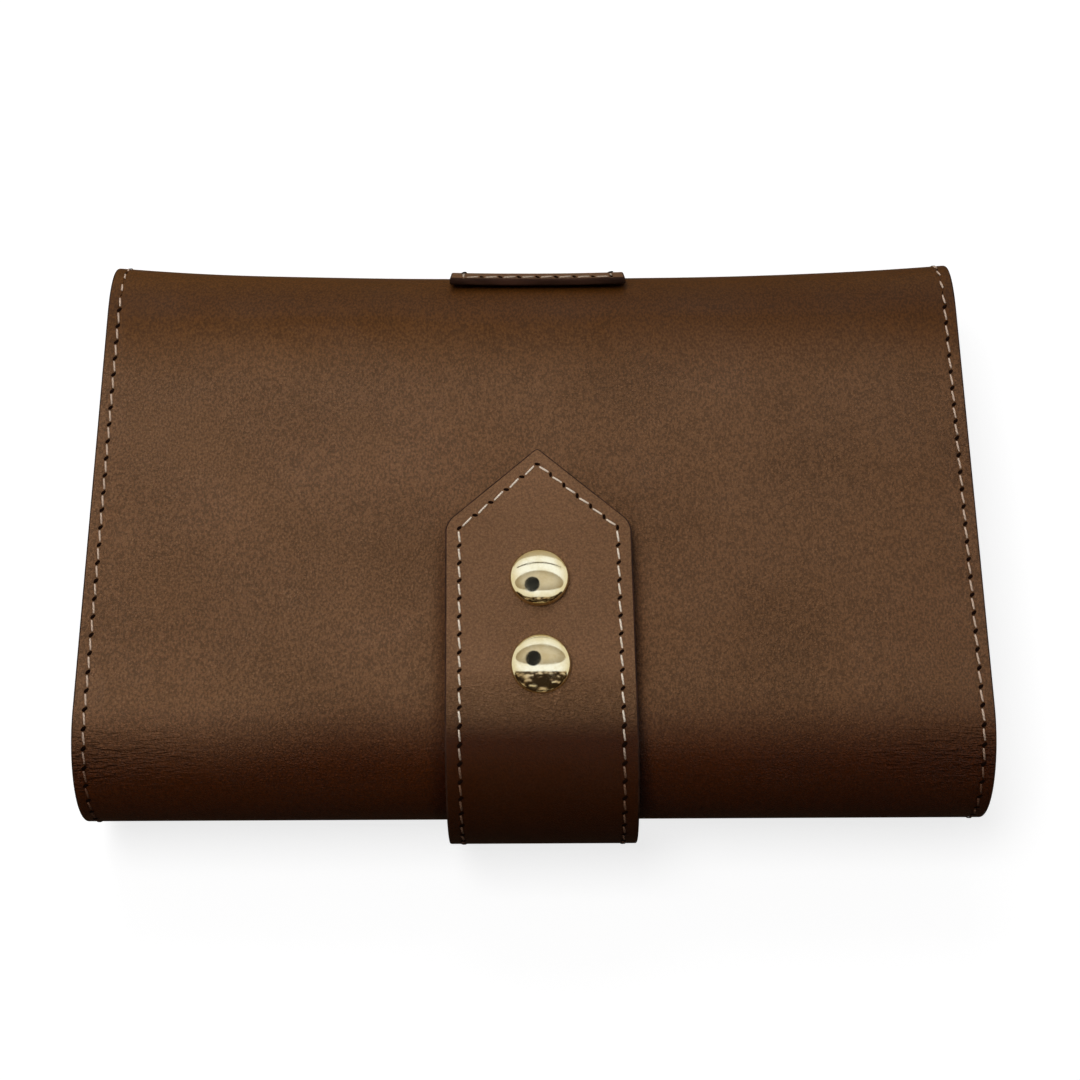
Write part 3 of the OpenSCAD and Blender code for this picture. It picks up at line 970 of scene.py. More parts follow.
def cover_sheet(bm, half_w, radius, grid, front, seams=(), dip=0.0):
    """A sheet that follows the covers' outline at a distance from their middle plane."""
    count, steps = grid
    places = columns(-half_w, half_w, count, seams)
    if front:
        row = first_row(bm, places, (0, SPINE_Y - radius, MID_Z), (0, 1, 0), seams, dip)
        row = run_round(bm, row, SPINE_Y, MID_Z, -90, steps)
        row = run_straight(bm, row, Vector((0, LIP_Y - SPINE_Y, 0)), steps)
        run_round(bm, row, LIP_Y, MID_Z, -90 - math.degrees(LIP_DROP), round(steps * 1.4))
    else:
        row = first_row(bm, places, (0, BACK_END_Y, MID_Z - radius), (0, 0, 1), seams, dip)
        row = run_straight(bm, row, Vector((0, SPINE_Y - BACK_END_Y, 0)), steps)
        run_round(bm, row, SPINE_Y, MID_Z, -90, steps)
    for vert in bm.verts:
        vert.co = settle(vert.co)


class WALLET_OT_covers(bpy.types.Operator):
    """Makes the outer leather, one length for the back and one for the front"""

    bl_idname = "wallet.covers"
    bl_label = "Cover Leather"

    def execute(self, context):
        sizes = context.scene.wallet_sizes
        back = self.length_of_leather(sizes, front=False)
        blend_back(back)
        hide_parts("back_cover_leather", "spine_leather")
        front = self.length_of_leather(sizes, front=True)
        blend_front(front)
        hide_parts("front_cover_leather", "spine_leather")
        return {"FINISHED"}

    def length_of_leather(self, sizes, front):
        """One cover with its half of the spine."""
        bm = bmesh.new()
        seam = HALF_W - sizes.cover_seam
        cover_sheet(bm, HALF_W, FOLD_R, COVER_GRID, front, (-seam, seam), sizes.seam_dip)
        face_away(bm, INSIDE)
        thicken(bm, LEATHER_T, cover_joint, sizes.edge_round)
        name = "front_leather" if front else "back_leather"
        return finished(bm, name, ("cover_calf", "painted_edge"))


LINING_ROUND = 0.2 * MM


class WALLET_OT_linings(bpy.types.Operator):
    """Makes the lining, which hides the boards and closes the covers' inner side"""

    bl_idname = "wallet.linings"
    bl_label = "Linings"

    def execute(self, context):
        back = self.lining(front=False)
        blend_back(back)
        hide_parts("back_cover_lining", "back_cover_board", "spine_lining", "spine_board")
        front = self.lining(front=True)
        blend_front(front)
        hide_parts("front_cover_lining", "front_cover_board")
        return {"FINISHED"}

    def lining(self, front):
        """Fills the depth between the outer leather and the pockets."""
        bm = bmesh.new()
        outer_r = FOLD_R - LEATHER_T
        cover_sheet(bm, LINING_HALF_W, outer_r, LINING_GRID, front)
        face_away(bm, INSIDE)
        thicken(bm, outer_r - (FRONT_IN_Z - MID_Z), cover_joint, LINING_ROUND)
        name = "front_lining" if front else "back_lining"
        return finished(bm, name, ("lining_calf", "painted_edge"))


def lean(co):
    """Where a point of the snapped strap comes to lie: it drifts sideways from its point down
    to the spine, and the band on the back starts there and straightens."""
    slope = math.tan(bpy.context.scene.wallet_sizes.strap_lean)
    if co.z > BEND_R:
        angle = math.pi / 2 - math.atan2(co.z - BEND_R, BEND_Y - co.y) if co.y < BEND_Y else 0
        run = STRAP_TIP_Y - max(co.y, BEND_Y) + BEND_R * angle
    else:
        run = STRAP_TIP_Y - BEND_Y + BEND_R * math.pi / 2
        straight = (co.y - BEND_Y + BEND_R) / (BACK_END_Y - BEND_Y + BEND_R)
        run *= 1 - smooth_step(straight)
    moved = co.copy()
    moved.x += slope * (run - (STRAP_TIP_Y - SNAP_Y[1]))
    return moved


def blend_strap_band(piece):
    """Bakes into its mesh the transform of the strap's rear half, at the back cover and spine's
    fold.
    """
    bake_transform(piece)


def blend_strap_bend(piece):
    """Bakes into its mesh the transform of the strap's front half, at the spine and front cover's
    fold.
    """
    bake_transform(piece)


def blend_strap_front(piece):
    """Bakes into its mesh the transform of the strap's part that lifts off the front cover."""
    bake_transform(piece)


# The rounding of the strap's shoulders and of its tip, and how far the flat outline runs on past
# the bend before it is cut there
SHOULDER_ROUND = 2 * MM
TIP_ROUND = 0.8 * MM
OUTLINE_SPARE = 10 * MM


class WALLET_OT_strap(bpy.types.Operator):
    """Makes the strap: the band on the back, its bend round the spine and its point"""

    bl_idname = "wallet.strap"
    bl_label = "Strap"

    def execute(self, context):
        sizes = context.scene.wallet_sizes
        seams, dip = strap_seams(sizes), sizes.seam_dip
        count, steps = STRAP_GRID
        places = columns(STRAP_LOW.x, STRAP_HIGH.x, count, seams)

        bm = bmesh.new()
        row = first_row(bm, places, (0, BACK_END_Y, 0), (0, 0, 1), seams, dip)
        row = run_straight(bm, row, Vector((0, BEND_Y - BACK_END_Y, 0)), steps)
        run_round(bm, row, BEND_Y, BEND_R, -90, steps)
        band = self.strap_part(bm, sizes, "strap_band", self.mid_spine)
        blend_strap_band(band)
        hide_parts("back_band_leather", "strap_bridge_leather")

        bm = bmesh.new()
        row = first_row(bm, places, (0, BEND_Y - BEND_R, BEND_R), (0, 1, 0), seams, dip)
        run_round(bm, row, BEND_Y, BEND_R, STRAP_TURN - 180, steps)
        bend = self.strap_part(bm, sizes, "strap_bend", self.either_end)
        blend_strap_bend(bend)
        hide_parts("strap_bridge_leather")

        front = self.strap_front(sizes)
        blend_strap_front(front)
        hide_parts("strap_leather", "strap_lining")
        return {"FINISHED"}

    def mid_spine(self, centre):
        """Whether a cut edge only meets the other half of the bend."""
        return abs(centre.z - BEND_R) < JOINT_NEAR and centre.y < BEND_Y

    def turn_end(self, centre):
        """Whether a cut edge only meets the strap's front part or the bend."""
        return abs(centre.y - TURN_END.y) < JOINT_NEAR

    def either_end(self, centre):
        """Whether a cut edge of the bend's front half meets more strap."""
        return self.mid_spine(centre) or self.turn_end(centre)

    def strap_part(self, bm, sizes, name, is_joint):
        """Lays a sheet along the strap's drift and gives it its thickness."""
        for vert in bm.verts:
            vert.co = lean(vert.co)
        face_away(bm, Vector((STRAP_X, 0, BEND_R)))
        thicken(bm, STRAP_T, is_joint, sizes.edge_round)
        return finished(bm, name, ("strap_calf", "painted_edge"))

    def strap_front(self, sizes):
        """The front part starts as its flat outline, with the seam's groove inset in it."""
        bm = bmesh.new()
        shoulder_y = STRAP_TIP_Y - sizes.strap_point
        foot_y = BEND_Y - OUTLINE_SPARE
        outline = [
            (STRAP_LOW.x, foot_y), (STRAP_HIGH.x, foot_y), (STRAP_HIGH.x, shoulder_y),
            (STRAP_X, STRAP_TIP_Y), (STRAP_LOW.x, shoulder_y),
        ]
        verts = [bm.verts.new((x, y, STRAP_TOP)) for x, y in outline]
        bmesh.ops.contextual_create(bm, geom=verts)
        for corners, offset in ((verts[2::2], SHOULDER_ROUND), (verts[3:4], TIP_ROUND)):
            bevelled(bm, corners, offset, 6, affect="VERTICES")
        bmesh.ops.recalc_face_normals(bm, faces=bm.faces[:])
        inner = bm.faces[:]
        for inset, dip in (
            (sizes.strap_seam - SEAM_GROOVE, 0), (SEAM_GROOVE, sizes.seam_dip), (SEAM_GROOVE, 0),
        ):
            bmesh.ops.inset_region(bm, faces=inner, thickness=inset, use_even_offset=True)
            for vert in {v for f in inner for v in f.verts}:
                vert.co.z = STRAP_TOP - dip
        for y in [BEND_Y] + [BEND_Y + LIFT_RUN * i / 5 for i in range(1, 9)]:
            bmesh.ops.bisect_plane(
                bm, geom=bm.verts[:] + bm.edges[:] + bm.faces[:], dist=1e-7,
                plane_co=(0, y, 0), plane_no=(0, 1, 0), clear_inner=(y == BEND_Y),
            )
        row = [e for e in bm.edges if all(abs(v.co.y - BEND_Y) < 1e-6 for v in e.verts)]
        run_round(bm, row, BEND_Y, BEND_R, STRAP_TURN - 90, 4)
        return self.strap_part(bm, sizes, "strap_front", self.turn_end)


class WALLET_OT_lip_tab(bpy.types.Operator):
    """Makes the strap's squared end, sewn on the lip"""

    bl_idname = "wallet.lip_tab"
    bl_label = "Lip Tab"

    def execute(self, context):
        sizes = context.scene.wallet_sizes
        seams = strap_seams(sizes)
        count, steps = TAB_GRID
        places = columns(STRAP_LOW.x, STRAP_HIGH.x, count, seams)
        top = (0, LIP_Y + TAB_R * math.cos(TAB_TOP), MID_Z + TAB_R * math.sin(TAB_TOP))
        bm = bmesh.new()
        row = first_row(bm, places, top, (0, 0, -1), seams, sizes.seam_dip)
        run_round(bm, row, LIP_Y, MID_Z, -math.degrees(TAB_TOP + LIP_DROP), steps)
        for vert in bm.verts:
            vert.co = settle_tab(vert.co)
        face_away(bm, Vector((STRAP_X, LIP_Y, MID_Z)))
        thicken(bm, TAB_T, lambda centre: False, sizes.edge_round)
        tab = finished(bm, "lip_tab", ("strap_calf", "painted_edge"))
        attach(tab, "front_cover")
        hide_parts("lip_tab_leather")
        return {"FINISHED"}


# How deep the wallet's weight presses the band's seams, and over which stretch from the bend
BAND_PRESS = 0.2 * MM
PRESS_RUN = 5 * MM
# The seam across the squared end lies nearer to its edge, by this share
TAB_SEAM_SHARE = 0.6


class WALLET_OT_stitching(bpy.types.Operator):
    """Sews every outer seam, stitch by stitch"""

    bl_idname = "wallet.stitching"
    bl_label = "Outer Seams"

    def execute(self, context):
        sizes = context.scene.wallet_sizes
        seam = HALF_W - sizes.cover_seam
        cover_x = (-seam, seam)
        strap_x = strap_seams(sizes)

        piece = self.sewn_along(BACK_RUN, cover_x, sizes, settle, "back_stitches")
        blend_back(piece)
        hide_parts("back_cover_thread", "spine_thread")

        piece = self.sewn_along(FRONT_RUN, cover_x, sizes, settle, "front_stitches")
        blend_front(piece)
        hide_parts("front_cover_thread", "spine_thread")

        piece = self.sewn_along(STRAP_BACK_RUN, strap_x, sizes, self.sunk, "strap_band_stitches")
        blend_strap_band(piece)
        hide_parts("back_band_thread", "strap_bridge_thread")

        piece = self.sewn_along(STRAP_SPINE_RUN, strap_x, sizes, lean, "strap_bend_stitches")
        blend_strap_bend(piece)
        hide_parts("strap_bridge_thread")

        bm = bmesh.new()
        self.sew_strap_front(bm, sizes)
        piece = sewn(bm, "strap_front_stitches")
        blend_strap_front(piece)
        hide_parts("strap_thread")

        bm = bmesh.new()
        self.sew_tab(bm, sizes, strap_x)
        piece = sewn(bm, "lip_tab_stitches")
        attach(piece, "front_cover")
        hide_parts("lip_tab_thread")
        return {"FINISHED"}

    def sewn_along(self, runs, x_places, sizes, moved, name):
        """A piece with one seam at each of these X positions."""
        bm = bmesh.new()
        sew_runs(bm, runs, x_places, sizes, moved)
        return sewn(bm, name)

    def sunk(self, co):
        """Under the wallet its weight presses the band's seams flush with the leather."""
        moved = lean(co)
        moved.z += BAND_PRESS * smooth_step((co.y - BEND_Y) / PRESS_RUN)
        return moved

    def sew_strap_front(self, bm, sizes):
        """Up both sides of the strap's front and round its point."""
        half = STRAP_W / 2
        inset = sizes.strap_seam
        slope = math.hypot(half, sizes.strap_point)
        tip_y = STRAP_TIP_Y - inset * slope / half
        shoulder_y = tip_y - (half - inset) * sizes.strap_point / half
        left, right = STRAP_X - (half - inset), STRAP_X + (half - inset)
        corners = [
            lean(Vector((x, y, STRAP_TOP)))
            for x, y in ((left, TURN_END.y), (left, shoulder_y), (STRAP_X, tip_y),
                         (right, shoulder_y), (right, TURN_END.y))
        ]
        for start, end in zip(corners, corners[1:]):
            sew_line(bm, start, end, (0, 0, 1), sizes)

    def sew_tab(self, bm, sizes, strap_x):
        """Down both sides of the tab and across its end."""
        end = math.degrees(TAB_TOP - sizes.strap_seam * TAB_SEAM_SHARE / TAB_R)
        runs = [arc_run((LIP_Y, MID_Z), TAB_R, end, -math.degrees(LIP_DROP))]
        sew_runs(bm, runs, strap_x, sizes, settle_tab)
        place, _, out = walk(runs, 0)
        corners = [settle_tab(Vector((x, place.x, place.y))) for x in strap_x]
        sew_line(bm, *corners, (0, out.x, out.y), sizes)


# The caps' dome, its shoulder and its rolled rim, and how far each cap tilts
CAP_DOME_R = 14 * MM
CAP_SHOULDER_R = 1.2 * MM
CAP_RIM_R = 0.25 * MM
CAP_TILTS = (math.radians(12), 0)
CAP_STEPS = 96


class WALLET_OT_snaps(bpy.types.Operator):
    """Turns the two domed snap caps and plates the other snap parts"""

    bl_idname = "wallet.snaps"
    bl_label = "Snap Fasteners"

    def execute(self, context):
        bm = bmesh.new()
        for y, tilt in zip(SNAP_Y, CAP_TILTS):
            self.cap(bm, lean(Vector((STRAP_X, y, STRAP_TOP))), tilt)
        bmesh.ops.remove_doubles(bm, verts=bm.verts[:], dist=0.001 * MM)
        bmesh.ops.recalc_face_normals(bm, faces=bm.faces[:])
        caps = finished(bm, "domed_caps", ("cap_gold",), sharp=60)
        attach(caps, "strap")
        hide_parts("snap_caps")
        for node in ("snap_studs", "snap_posts", "snap_sockets"):
            plate_node(node, "pale_gold")
        return {"FINISHED"}

    def cap(self, bm, centre, tilt):
        """A shallow dome that rolls under at its rim; the pull of the bend tilts it a little."""
        before = set(bm.verts)
        verts = [bm.verts.new((r, 0, h)) for r, h in self.cap_profile()]
        edges = chain(bm, verts)
        bmesh.ops.spin(bm, geom=verts + edges, cent=(0, 0, 0), axis=(0, 0, 1), dvec=(0, 0, 0),
                       angle=math.tau, steps=CAP_STEPS, use_merge=True, use_duplicate=False)
        made = [v for v in bm.verts if v not in before]
        turn = Matrix.Rotation(tilt, 4, "X")
        bmesh.ops.transform(bm, verts=made, matrix=Matrix.Translation(centre) @ turn)

    def cap_profile(self):
        """From the middle of the dome out over its shoulder, down to the rim and under it."""
        radius = SNAP_D / 2
        slope = math.asin((radius - CAP_SHOULDER_R) / (CAP_DOME_R - CAP_SHOULDER_R))
        edge_r = CAP_DOME_R * math.sin(slope)
        edge_z = SNAP_H - CAP_DOME_R * (1 - math.cos(slope))
        points = []
        for i in range(25):
            a = slope * i / 24
            points.append((CAP_DOME_R * math.sin(a), SNAP_H - CAP_DOME_R * (1 - math.cos(a))))
        for i in range(1, 13):
            a = slope + (math.pi / 2 - slope) * i / 12
            points.append((edge_r + CAP_SHOULDER_R * (math.sin(a) - math.sin(slope)),
                           edge_z - CAP_SHOULDER_R * (math.cos(slope) - math.cos(a))))
        points.append((radius, CAP_RIM_R))
        for i in (1, 2, 3):
            a = math.radians(30 * i)
            points.append((radius - CAP_RIM_R * (1 - math.cos(a)), CAP_RIM_R * (1 - math.sin(a))))
        points.append((0.0, 0.0))
        return points


def plate_node(node, name):
    """Gives a CAD node's own mesh a finish."""
    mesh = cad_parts[node].data
    mesh.materials.clear()
    mesh.materials.append(material(name))
    smoothed(mesh)


# The rounding on the edges of flat pieces, at most this share of their thickness
PLATE_ROUND = 0.25 * MM
PLATE_ROUND_SHARE = 0.3


def leather_plate(bm, low, high, corner=0.0):
    """A flat piece of leather between two corners, with painted and rounded edges. corner is
    the radius of its two corners towards the mouth."""
    size = high - low
    made = bmesh.ops.create_cube(
        bm, size=1.0,
        matrix=Matrix.Translation((low + high) / 2) @ Matrix.Diagonal((*size, 1)),
    )["verts"]
    faces = {f for v in made for f in v.link_faces}
    for face in faces:
        face.normal_update()
        face.material_index = GRAIN if abs(face.normal.z) > 0.5 else PAINTED
    if corner > 0:
        upright = [
            e for e in {e for v in made for e in v.link_edges}
            if abs(e.verts[0].co.z - e.verts[1].co.z) > size.z / 2
            and abs(e.verts[0].co.y - high.y) < 1e-7
        ]
        faces |= set(bevelled(bm, upright, corner, 6, material=PAINTED))
        faces = {f for f in faces if f.is_valid}
    flat = [f for f in faces if abs(f.normal.z) > 0.5]
    rims = list({e for f in flat for e in f.edges})
    bevelled(bm, rims, min(PLATE_ROUND, size.z * PLATE_ROUND_SHARE), 2)


# Card pockets: their rounded corners, how far their seams lie inside the edges, and how far a seam
# ends below a pocket's edge and the next one starts above it
SLIP_CORNER = 4 * MM
CARD_CORNER = 2.5 * MM
POCKET_SEAM = 1.6 * MM
SEAM_END = 0.6 * MM
SEAM_START = 0.8 * MM


class WALLET_OT_card_pockets(bpy.types.Operator):
    """Makes the card pockets inside the front cover and on the divider"""

    bl_idname = "wallet.card_pockets"
    bl_label = "Card Pockets"

    def execute(self, context):
        sizes = context.scene.wallet_sizes
        self.slip_pocket()
        front = [f"front_slot_row_{i}" for i in (1, 2, 3, 4)]
        divider = [f"divider_slot_row_{i}" for i in (1, 2)]
        for node in front:
            self.pocket_row(node, sizes, "front_cover")
        for node in divider:
            self.pocket_row(node, sizes, "back_cover")
        self.row_seams(front, -1, "front_cover", "front_pocket_stitches", sizes)
        self.row_seams(divider, 1, "back_cover", "divider_pocket_stitches", sizes)
        return {"FINISHED"}

    def slip_pocket(self):
        """The pocket behind the card pockets, as wide as the cover's inside."""
        bm = bmesh.new()
        leather_plate(bm, *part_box("front_slip_pocket"), corner=SLIP_CORNER)
        piece = finished(bm, "slip_pocket", ("cover_calf", "painted_edge"))
        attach(piece, "front_cover")
        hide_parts("front_slip_pocket")

    def pocket_row(self, node, sizes, body):
        """A pocket on each side of the gap in the middle."""
        bm = bmesh.new()
        low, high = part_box(node)
        inner = sizes.card_split / 2
        leather_plate(bm, Vector((inner, low.y, low.z)), high, corner=CARD_CORNER)
        leather_plate(bm, low, Vector((-inner, high.y, high.z)), corner=CARD_CORNER)
        piece = finished(bm, node + "_leather", ("lining_calf", "painted_edge"))
        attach(piece, body)
        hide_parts(node)

    def row_seams(self, rows, up, body, name, sizes):
        """Seams up both sides of each column of pockets, stepping from row to row. up is the
        side of Z on which the pockets open."""
        bm = bmesh.new()
        inner = sizes.card_split / 2 + POCKET_SEAM
        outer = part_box(rows[0])[1].x - POCKET_SEAM
        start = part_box(rows[0])[0].y + POCKET_SEAM
        for low, high in sorted((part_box(node) for node in rows), key=lambda box: box[1].y):
            z = low.z if up < 0 else high.z
            for x in (-outer, -inner, inner, outer):
                sew_line(bm, (x, start, z), (x, high.y - SEAM_END, z), (0, 0, up), sizes)
            start = high.y + SEAM_START
        piece = sewn(bm, name)
        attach(piece, body)


# Walls: their rounded corners, how far their seams lie inside the edges, and how far their
# turned-down feet stay inside their sides
WALL_CORNER = 3 * MM
WALL_SEAM = 1.4 * MM
FOOT_INSET = 8.3 * MM
# Gussets: their leather, the depth of their fold, and the rounding of its crease and their edges
GUSSET_T = 0.7 * MM
GUSSET_FOLD = 7 * MM
CREASE_ROUND = 0.9 * MM
GUSSET_ROUND = 0.12 * MM


class WALLET_OT_compartments(bpy.types.Operator):
    """Makes the note compartments and the coin pocket with their folded gussets"""

    bl_idname = "wallet.compartments"
    bl_label = "Note and Coin Pockets"

    def execute(self, context):
        sizes = context.scene.wallet_sizes
        for node, below in (
            ("coin_wall_rear", "back_cover_lining"),
            ("coin_wall_front", "coin_wall_rear"),
            ("card_divider", "coin_wall_front"),
        ):
            self.wall(node, below, sizes)
        for node in ("rear_note_gussets", "coin_pocket_gussets", "front_note_gussets"):
            self.gussets(node)
        return {"FINISHED"}

    def wall(self, node, below, sizes):
        """A pocket wall, its turned-down foot and the seams along its sides."""
        low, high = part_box(node)
        wall_t = size_of("front_slip_pocket").z
        foot_x = high.x - FOOT_INSET
        foot_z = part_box(below)[1].z
        bm = bmesh.new()
        leather_plate(bm, Vector((low.x, low.y, high.z - wall_t)), high, corner=WALL_CORNER)
        leather_plate(bm, Vector((-foot_x, low.y, foot_z)),
                      Vector((foot_x, low.y + wall_t, high.z - wall_t)))
        piece = finished(bm, node + "_leather", ("cover_calf", "painted_edge"))
        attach(piece, "back_cover")
        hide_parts(node)

        x, top, z = high.x - WALL_SEAM, high.y - WALL_SEAM, high.z
        bottom, end = low.y + WALL_SEAM, top - WALL_SEAM
        bm = bmesh.new()
        for side in (-1, 1):
            sew_line(bm, (side * x, bottom, z), (side * x, end, z), (0, 0, 1), sizes)
        sew_line(bm, (-x + WALL_SEAM, top, z), (x - WALL_SEAM, top, z), (0, 0, 1), sizes)
        seams = sewn(bm, node + "_stitches")
        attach(seams, "back_cover")

    def gussets(self, node):
        """Each gusset is a strip folded inwards, with a soft crease."""
        low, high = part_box(node)
        middle_z = (low.z + high.z) / 2
        bm = bmesh.new()
        for side in (-1, 1):
            x = side * (high.x - GUSSET_T)
            profile = [(x, low.z), (x - side * GUSSET_FOLD, middle_z), (x, high.z)]
            edges = chain(bm, [bm.verts.new((px, low.y, pz)) for px, pz in profile])
            run_straight(bm, edges, Vector((0, high.y - low.y, 0)), 24)
        creases = [e for e in bm.edges if all(abs(v.co.z - middle_z) < 1e-6 for v in e.verts)]
        bevelled(bm, creases, CREASE_ROUND, 4)
        thicken(bm, GUSSET_T, lambda centre: False, GUSSET_ROUND)
        for vert in bm.verts:
            vert.co.z = min(max(vert.co.z, low.z), high.z)
        piece = finished(bm, node + "_leather", ("cover_calf", "painted_edge"))
        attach(piece, "back_cover")
        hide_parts(node)


# Zip teeth: their pitch, the share of it that a tooth fills, and the rounding of their edges
TOOTH_PITCH = 1.6 * MM
TOOTH_SHARE = 0.62
TOOTH_ROUND = 0.22 * MM


class WALLET_OT_zip(bpy.types.Operator):
    """Makes the coin pocket's zip: woven tapes, metal teeth, slider and puller"""

    bl_idname = "wallet.zip"
    bl_label = "Coin Zip"

    def execute(self, context):
        for node in ("zip_tape_rear", "zip_tape_front"):
            plate_node(node, "zip_weave")
        for node in ("zip_slider", "zip_puller", "zip_end_stops"):
            plate_node(node, "pale_gold")
        for node in ("zip_coil_rear", "zip_coil_front"):
            self.teeth(node)
        return {"FINISHED"}

    def teeth(self, node):
        """A row of rounded teeth in the space of the coil."""
        low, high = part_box(node)
        middle, size = (low + high) / 2, high - low
        count = int(size.x / TOOTH_PITCH)
        tooth = Matrix.Diagonal((TOOTH_PITCH * TOOTH_SHARE, size.y, size.z, 1))
        bm = bmesh.new()
        for i in range(count):
            place = Matrix.Translation((low.x + (i + 0.5) * size.x / count, middle.y, middle.z))
            verts = bmesh.ops.create_cube(bm, size=1.0, matrix=place @ tooth)["verts"]
            bevelled(bm, list({e for v in verts for e in v.link_edges}), TOOTH_ROUND, 1)
        piece = finished(bm, node.replace("coil", "teeth"), ("pale_gold",))
        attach(piece, "back_cover")
        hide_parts(node)


# How far the camera's aim lies from the middle of the covers, to the right and towards the mouth
AIM_X = 1.5 * MM
AIM_Y = -0.65 * MM


class WALLET_OT_stage(bpy.types.Operator):
    """Sets the floor, the lamps, the world and the camera"""

    bl_idname = "wallet.stage"
    bl_label = "Stage"

    def execute(self, context):
        stage = context.scene.wallet_stage
        self.floor()
        self.world(context.scene, stage.ambient)
        self.lamps(stage)
        self.cards()
        self.camera(context.scene, stage)
        context.scene.view_settings.view_transform = "Standard"
        return {"FINISHED"}

    def by_ray(self, tree, unseen, seen, output):
        """Ends a tree with the seen shader for rays that show the background itself, straight,
        mirrored or through glass, and with the unseen one for the rest."""
        path = tree.new("LightPath")
        shown = tree.calc("MAXIMUM", path.outputs["Is Camera Ray"], path.outputs["Is Glossy Ray"])
        shown = tree.calc("MAXIMUM", shown, path.outputs["Is Transmission Ray"])
        mix = tree.new("MixShader")
        tree.link(shown, mix.inputs[0])
        tree.link(unseen.outputs[0], mix.inputs[1])
        tree.link(seen.outputs[0], mix.inputs[2])
        tree.link(mix.outputs[0], tree.new(output).inputs["Surface"])

    def flat_object(self, bm, name, mat):
        """An object for the floor or a card."""
        mesh = bpy.data.meshes.new(name)
        bm.to_mesh(mesh)
        bm.free()
        mesh.materials.append(mat)
        flat = bpy.data.objects.new(name, mesh)
        bpy.context.scene.collection.objects.link(flat)
        return flat

    def floor(self):
        """White to look at, and a dull grey in the light that it throws back."""
        mat = bpy.data.materials.new("pale_floor")
        tree = blank_tree(mat)
        matt = tree.plain("BsdfDiffuse", (0.3, 0.29, 0.28))
        pale = tree.plain("BsdfDiffuse", (0.34, 0.34, 0.34))
        glow = tree.plain("Emission", (1, 1, 1))
        strength = tree.ranged(tree.distance(tree.place()), 0.15, 1.6, 0.8, 1.0)
        tree.link(strength, glow.inputs["Strength"])
        both = tree.new("AddShader")
        tree.link(pale.outputs[0], both.inputs[0])
        tree.link(glow.outputs[0], both.inputs[1])
        self.by_ray(tree, matt, both, "OutputMaterial")
        bm = bmesh.new()
        bmesh.ops.create_grid(bm, x_segments=2, y_segments=2, size=3.0)
        floor = self.flat_object(bm, "floor", mat)

    def world(self, scene, ambient):
        """White to look at, and soft on matt surfaces, most of it from the mouth's side."""
        scene.world = bpy.data.worlds.new("studio")
        tree = blank_tree(scene.world)
        split = tree.new("SeparateXYZ")
        tree.link(tree.new("TexCoord").outputs["Generated"], split.inputs["Vector"])
        soft = tree.new("Background")
        strength = tree.ranged(split.outputs["Y"], -0.6, 0.7, 0.12 * ambient, ambient)
        tree.link(strength, soft.inputs["Strength"])
        white = tree.plain("Background", (1, 1, 1))
        white.inputs["Strength"].default_value = 1.0
        self.by_ray(tree, soft, white, "OutputWorld")

    def lamps(self, stage):
        """Two soft lamps above the mouth, whose mirror images the cards below stand in for."""
        for name, place, width, share in (
            ("high_lamp", (-0.3, 0.0, 1.15), 0.5, 0.68),
            ("low_lamp", (-0.15, 0.85, 0.85), 0.45, 0.32),
        ):
            data = bpy.data.lights.new(name, "AREA")
            data.shape = "RECTANGLE"
            data.size = 0.6
            data.size_y = width
            data.energy = stage.key_power * share
            lamp = bpy.data.objects.new(name, data)
            lamp.location = place
            lamp.rotation_euler = Vector(place).to_track_quat("Z", "Y").to_euler()
            lamp.visible_glossy = False
            bpy.context.scene.collection.objects.link(lamp)

    def cards(self):
        """Cards that only mirror images and the leather's sheen show: a dim ceiling with a dark
        hole, a thin dark bar over the mouth, dim or dark cards and mats round the horizon, and
        a few small bright spots before the spine."""
        warm, brown, plain = (1.0, 0.87, 0.68), (1.0, 0.62, 0.36), (1.0, 1.0, 1.0)
        middle, half_w, half_h = Vector((0, 0.191, 1.2)), 1.07, 0.394
        ceiling = self.card("dim_ceiling", middle, (0, 0, -1), half_w, half_h, 0.56, warm, 48)
        self.dim_rim(ceiling, middle, half_w, half_h)
        self.card("ceiling_hole", (-0.26, 0.04, 1.19), (0, 0, -1), 0.28, 0.28, 0.02, plain, 32)
        self.card("thin_bar", (0, 0.9, 1.03), (0, -0.9, -1), 0.9, 0.032, 0.15, warm)
        self.card("rear_card", (0, 1.3, 0.445), (0, -1, 0), 1.5, 0.445, 0.55, warm)
        dark = self.card("dark_card", (0, -0.5, 0.685), (0, 1, 0), 1.4, 0.685, 0.09, brown)
        self.blotches(dark)
        self.card("dark_mat", (0, -0.45, 0.0005), (0, 0, 1), 1.5, 0.515, 0.06, brown)
        self.card("dim_mat", (0, 0.6, 0.0005), (0, 0, 1), 1.5, 0.52, 0.08, warm)
        spots = (
            (-0.15, 0.5, 0.07), (0.1, 0.34, 0.05), (0.3, 0.6, 0.05), (-0.32, 0.3, 0.04),
            (0.02, 0.16, 0.09),
        )
        for i, (x, z, half_w) in enumerate(spots):
            self.card(f"spot_{i + 1}", (x, -0.49, z), (0, 1, 0), half_w, 0.02, 0.9, warm)

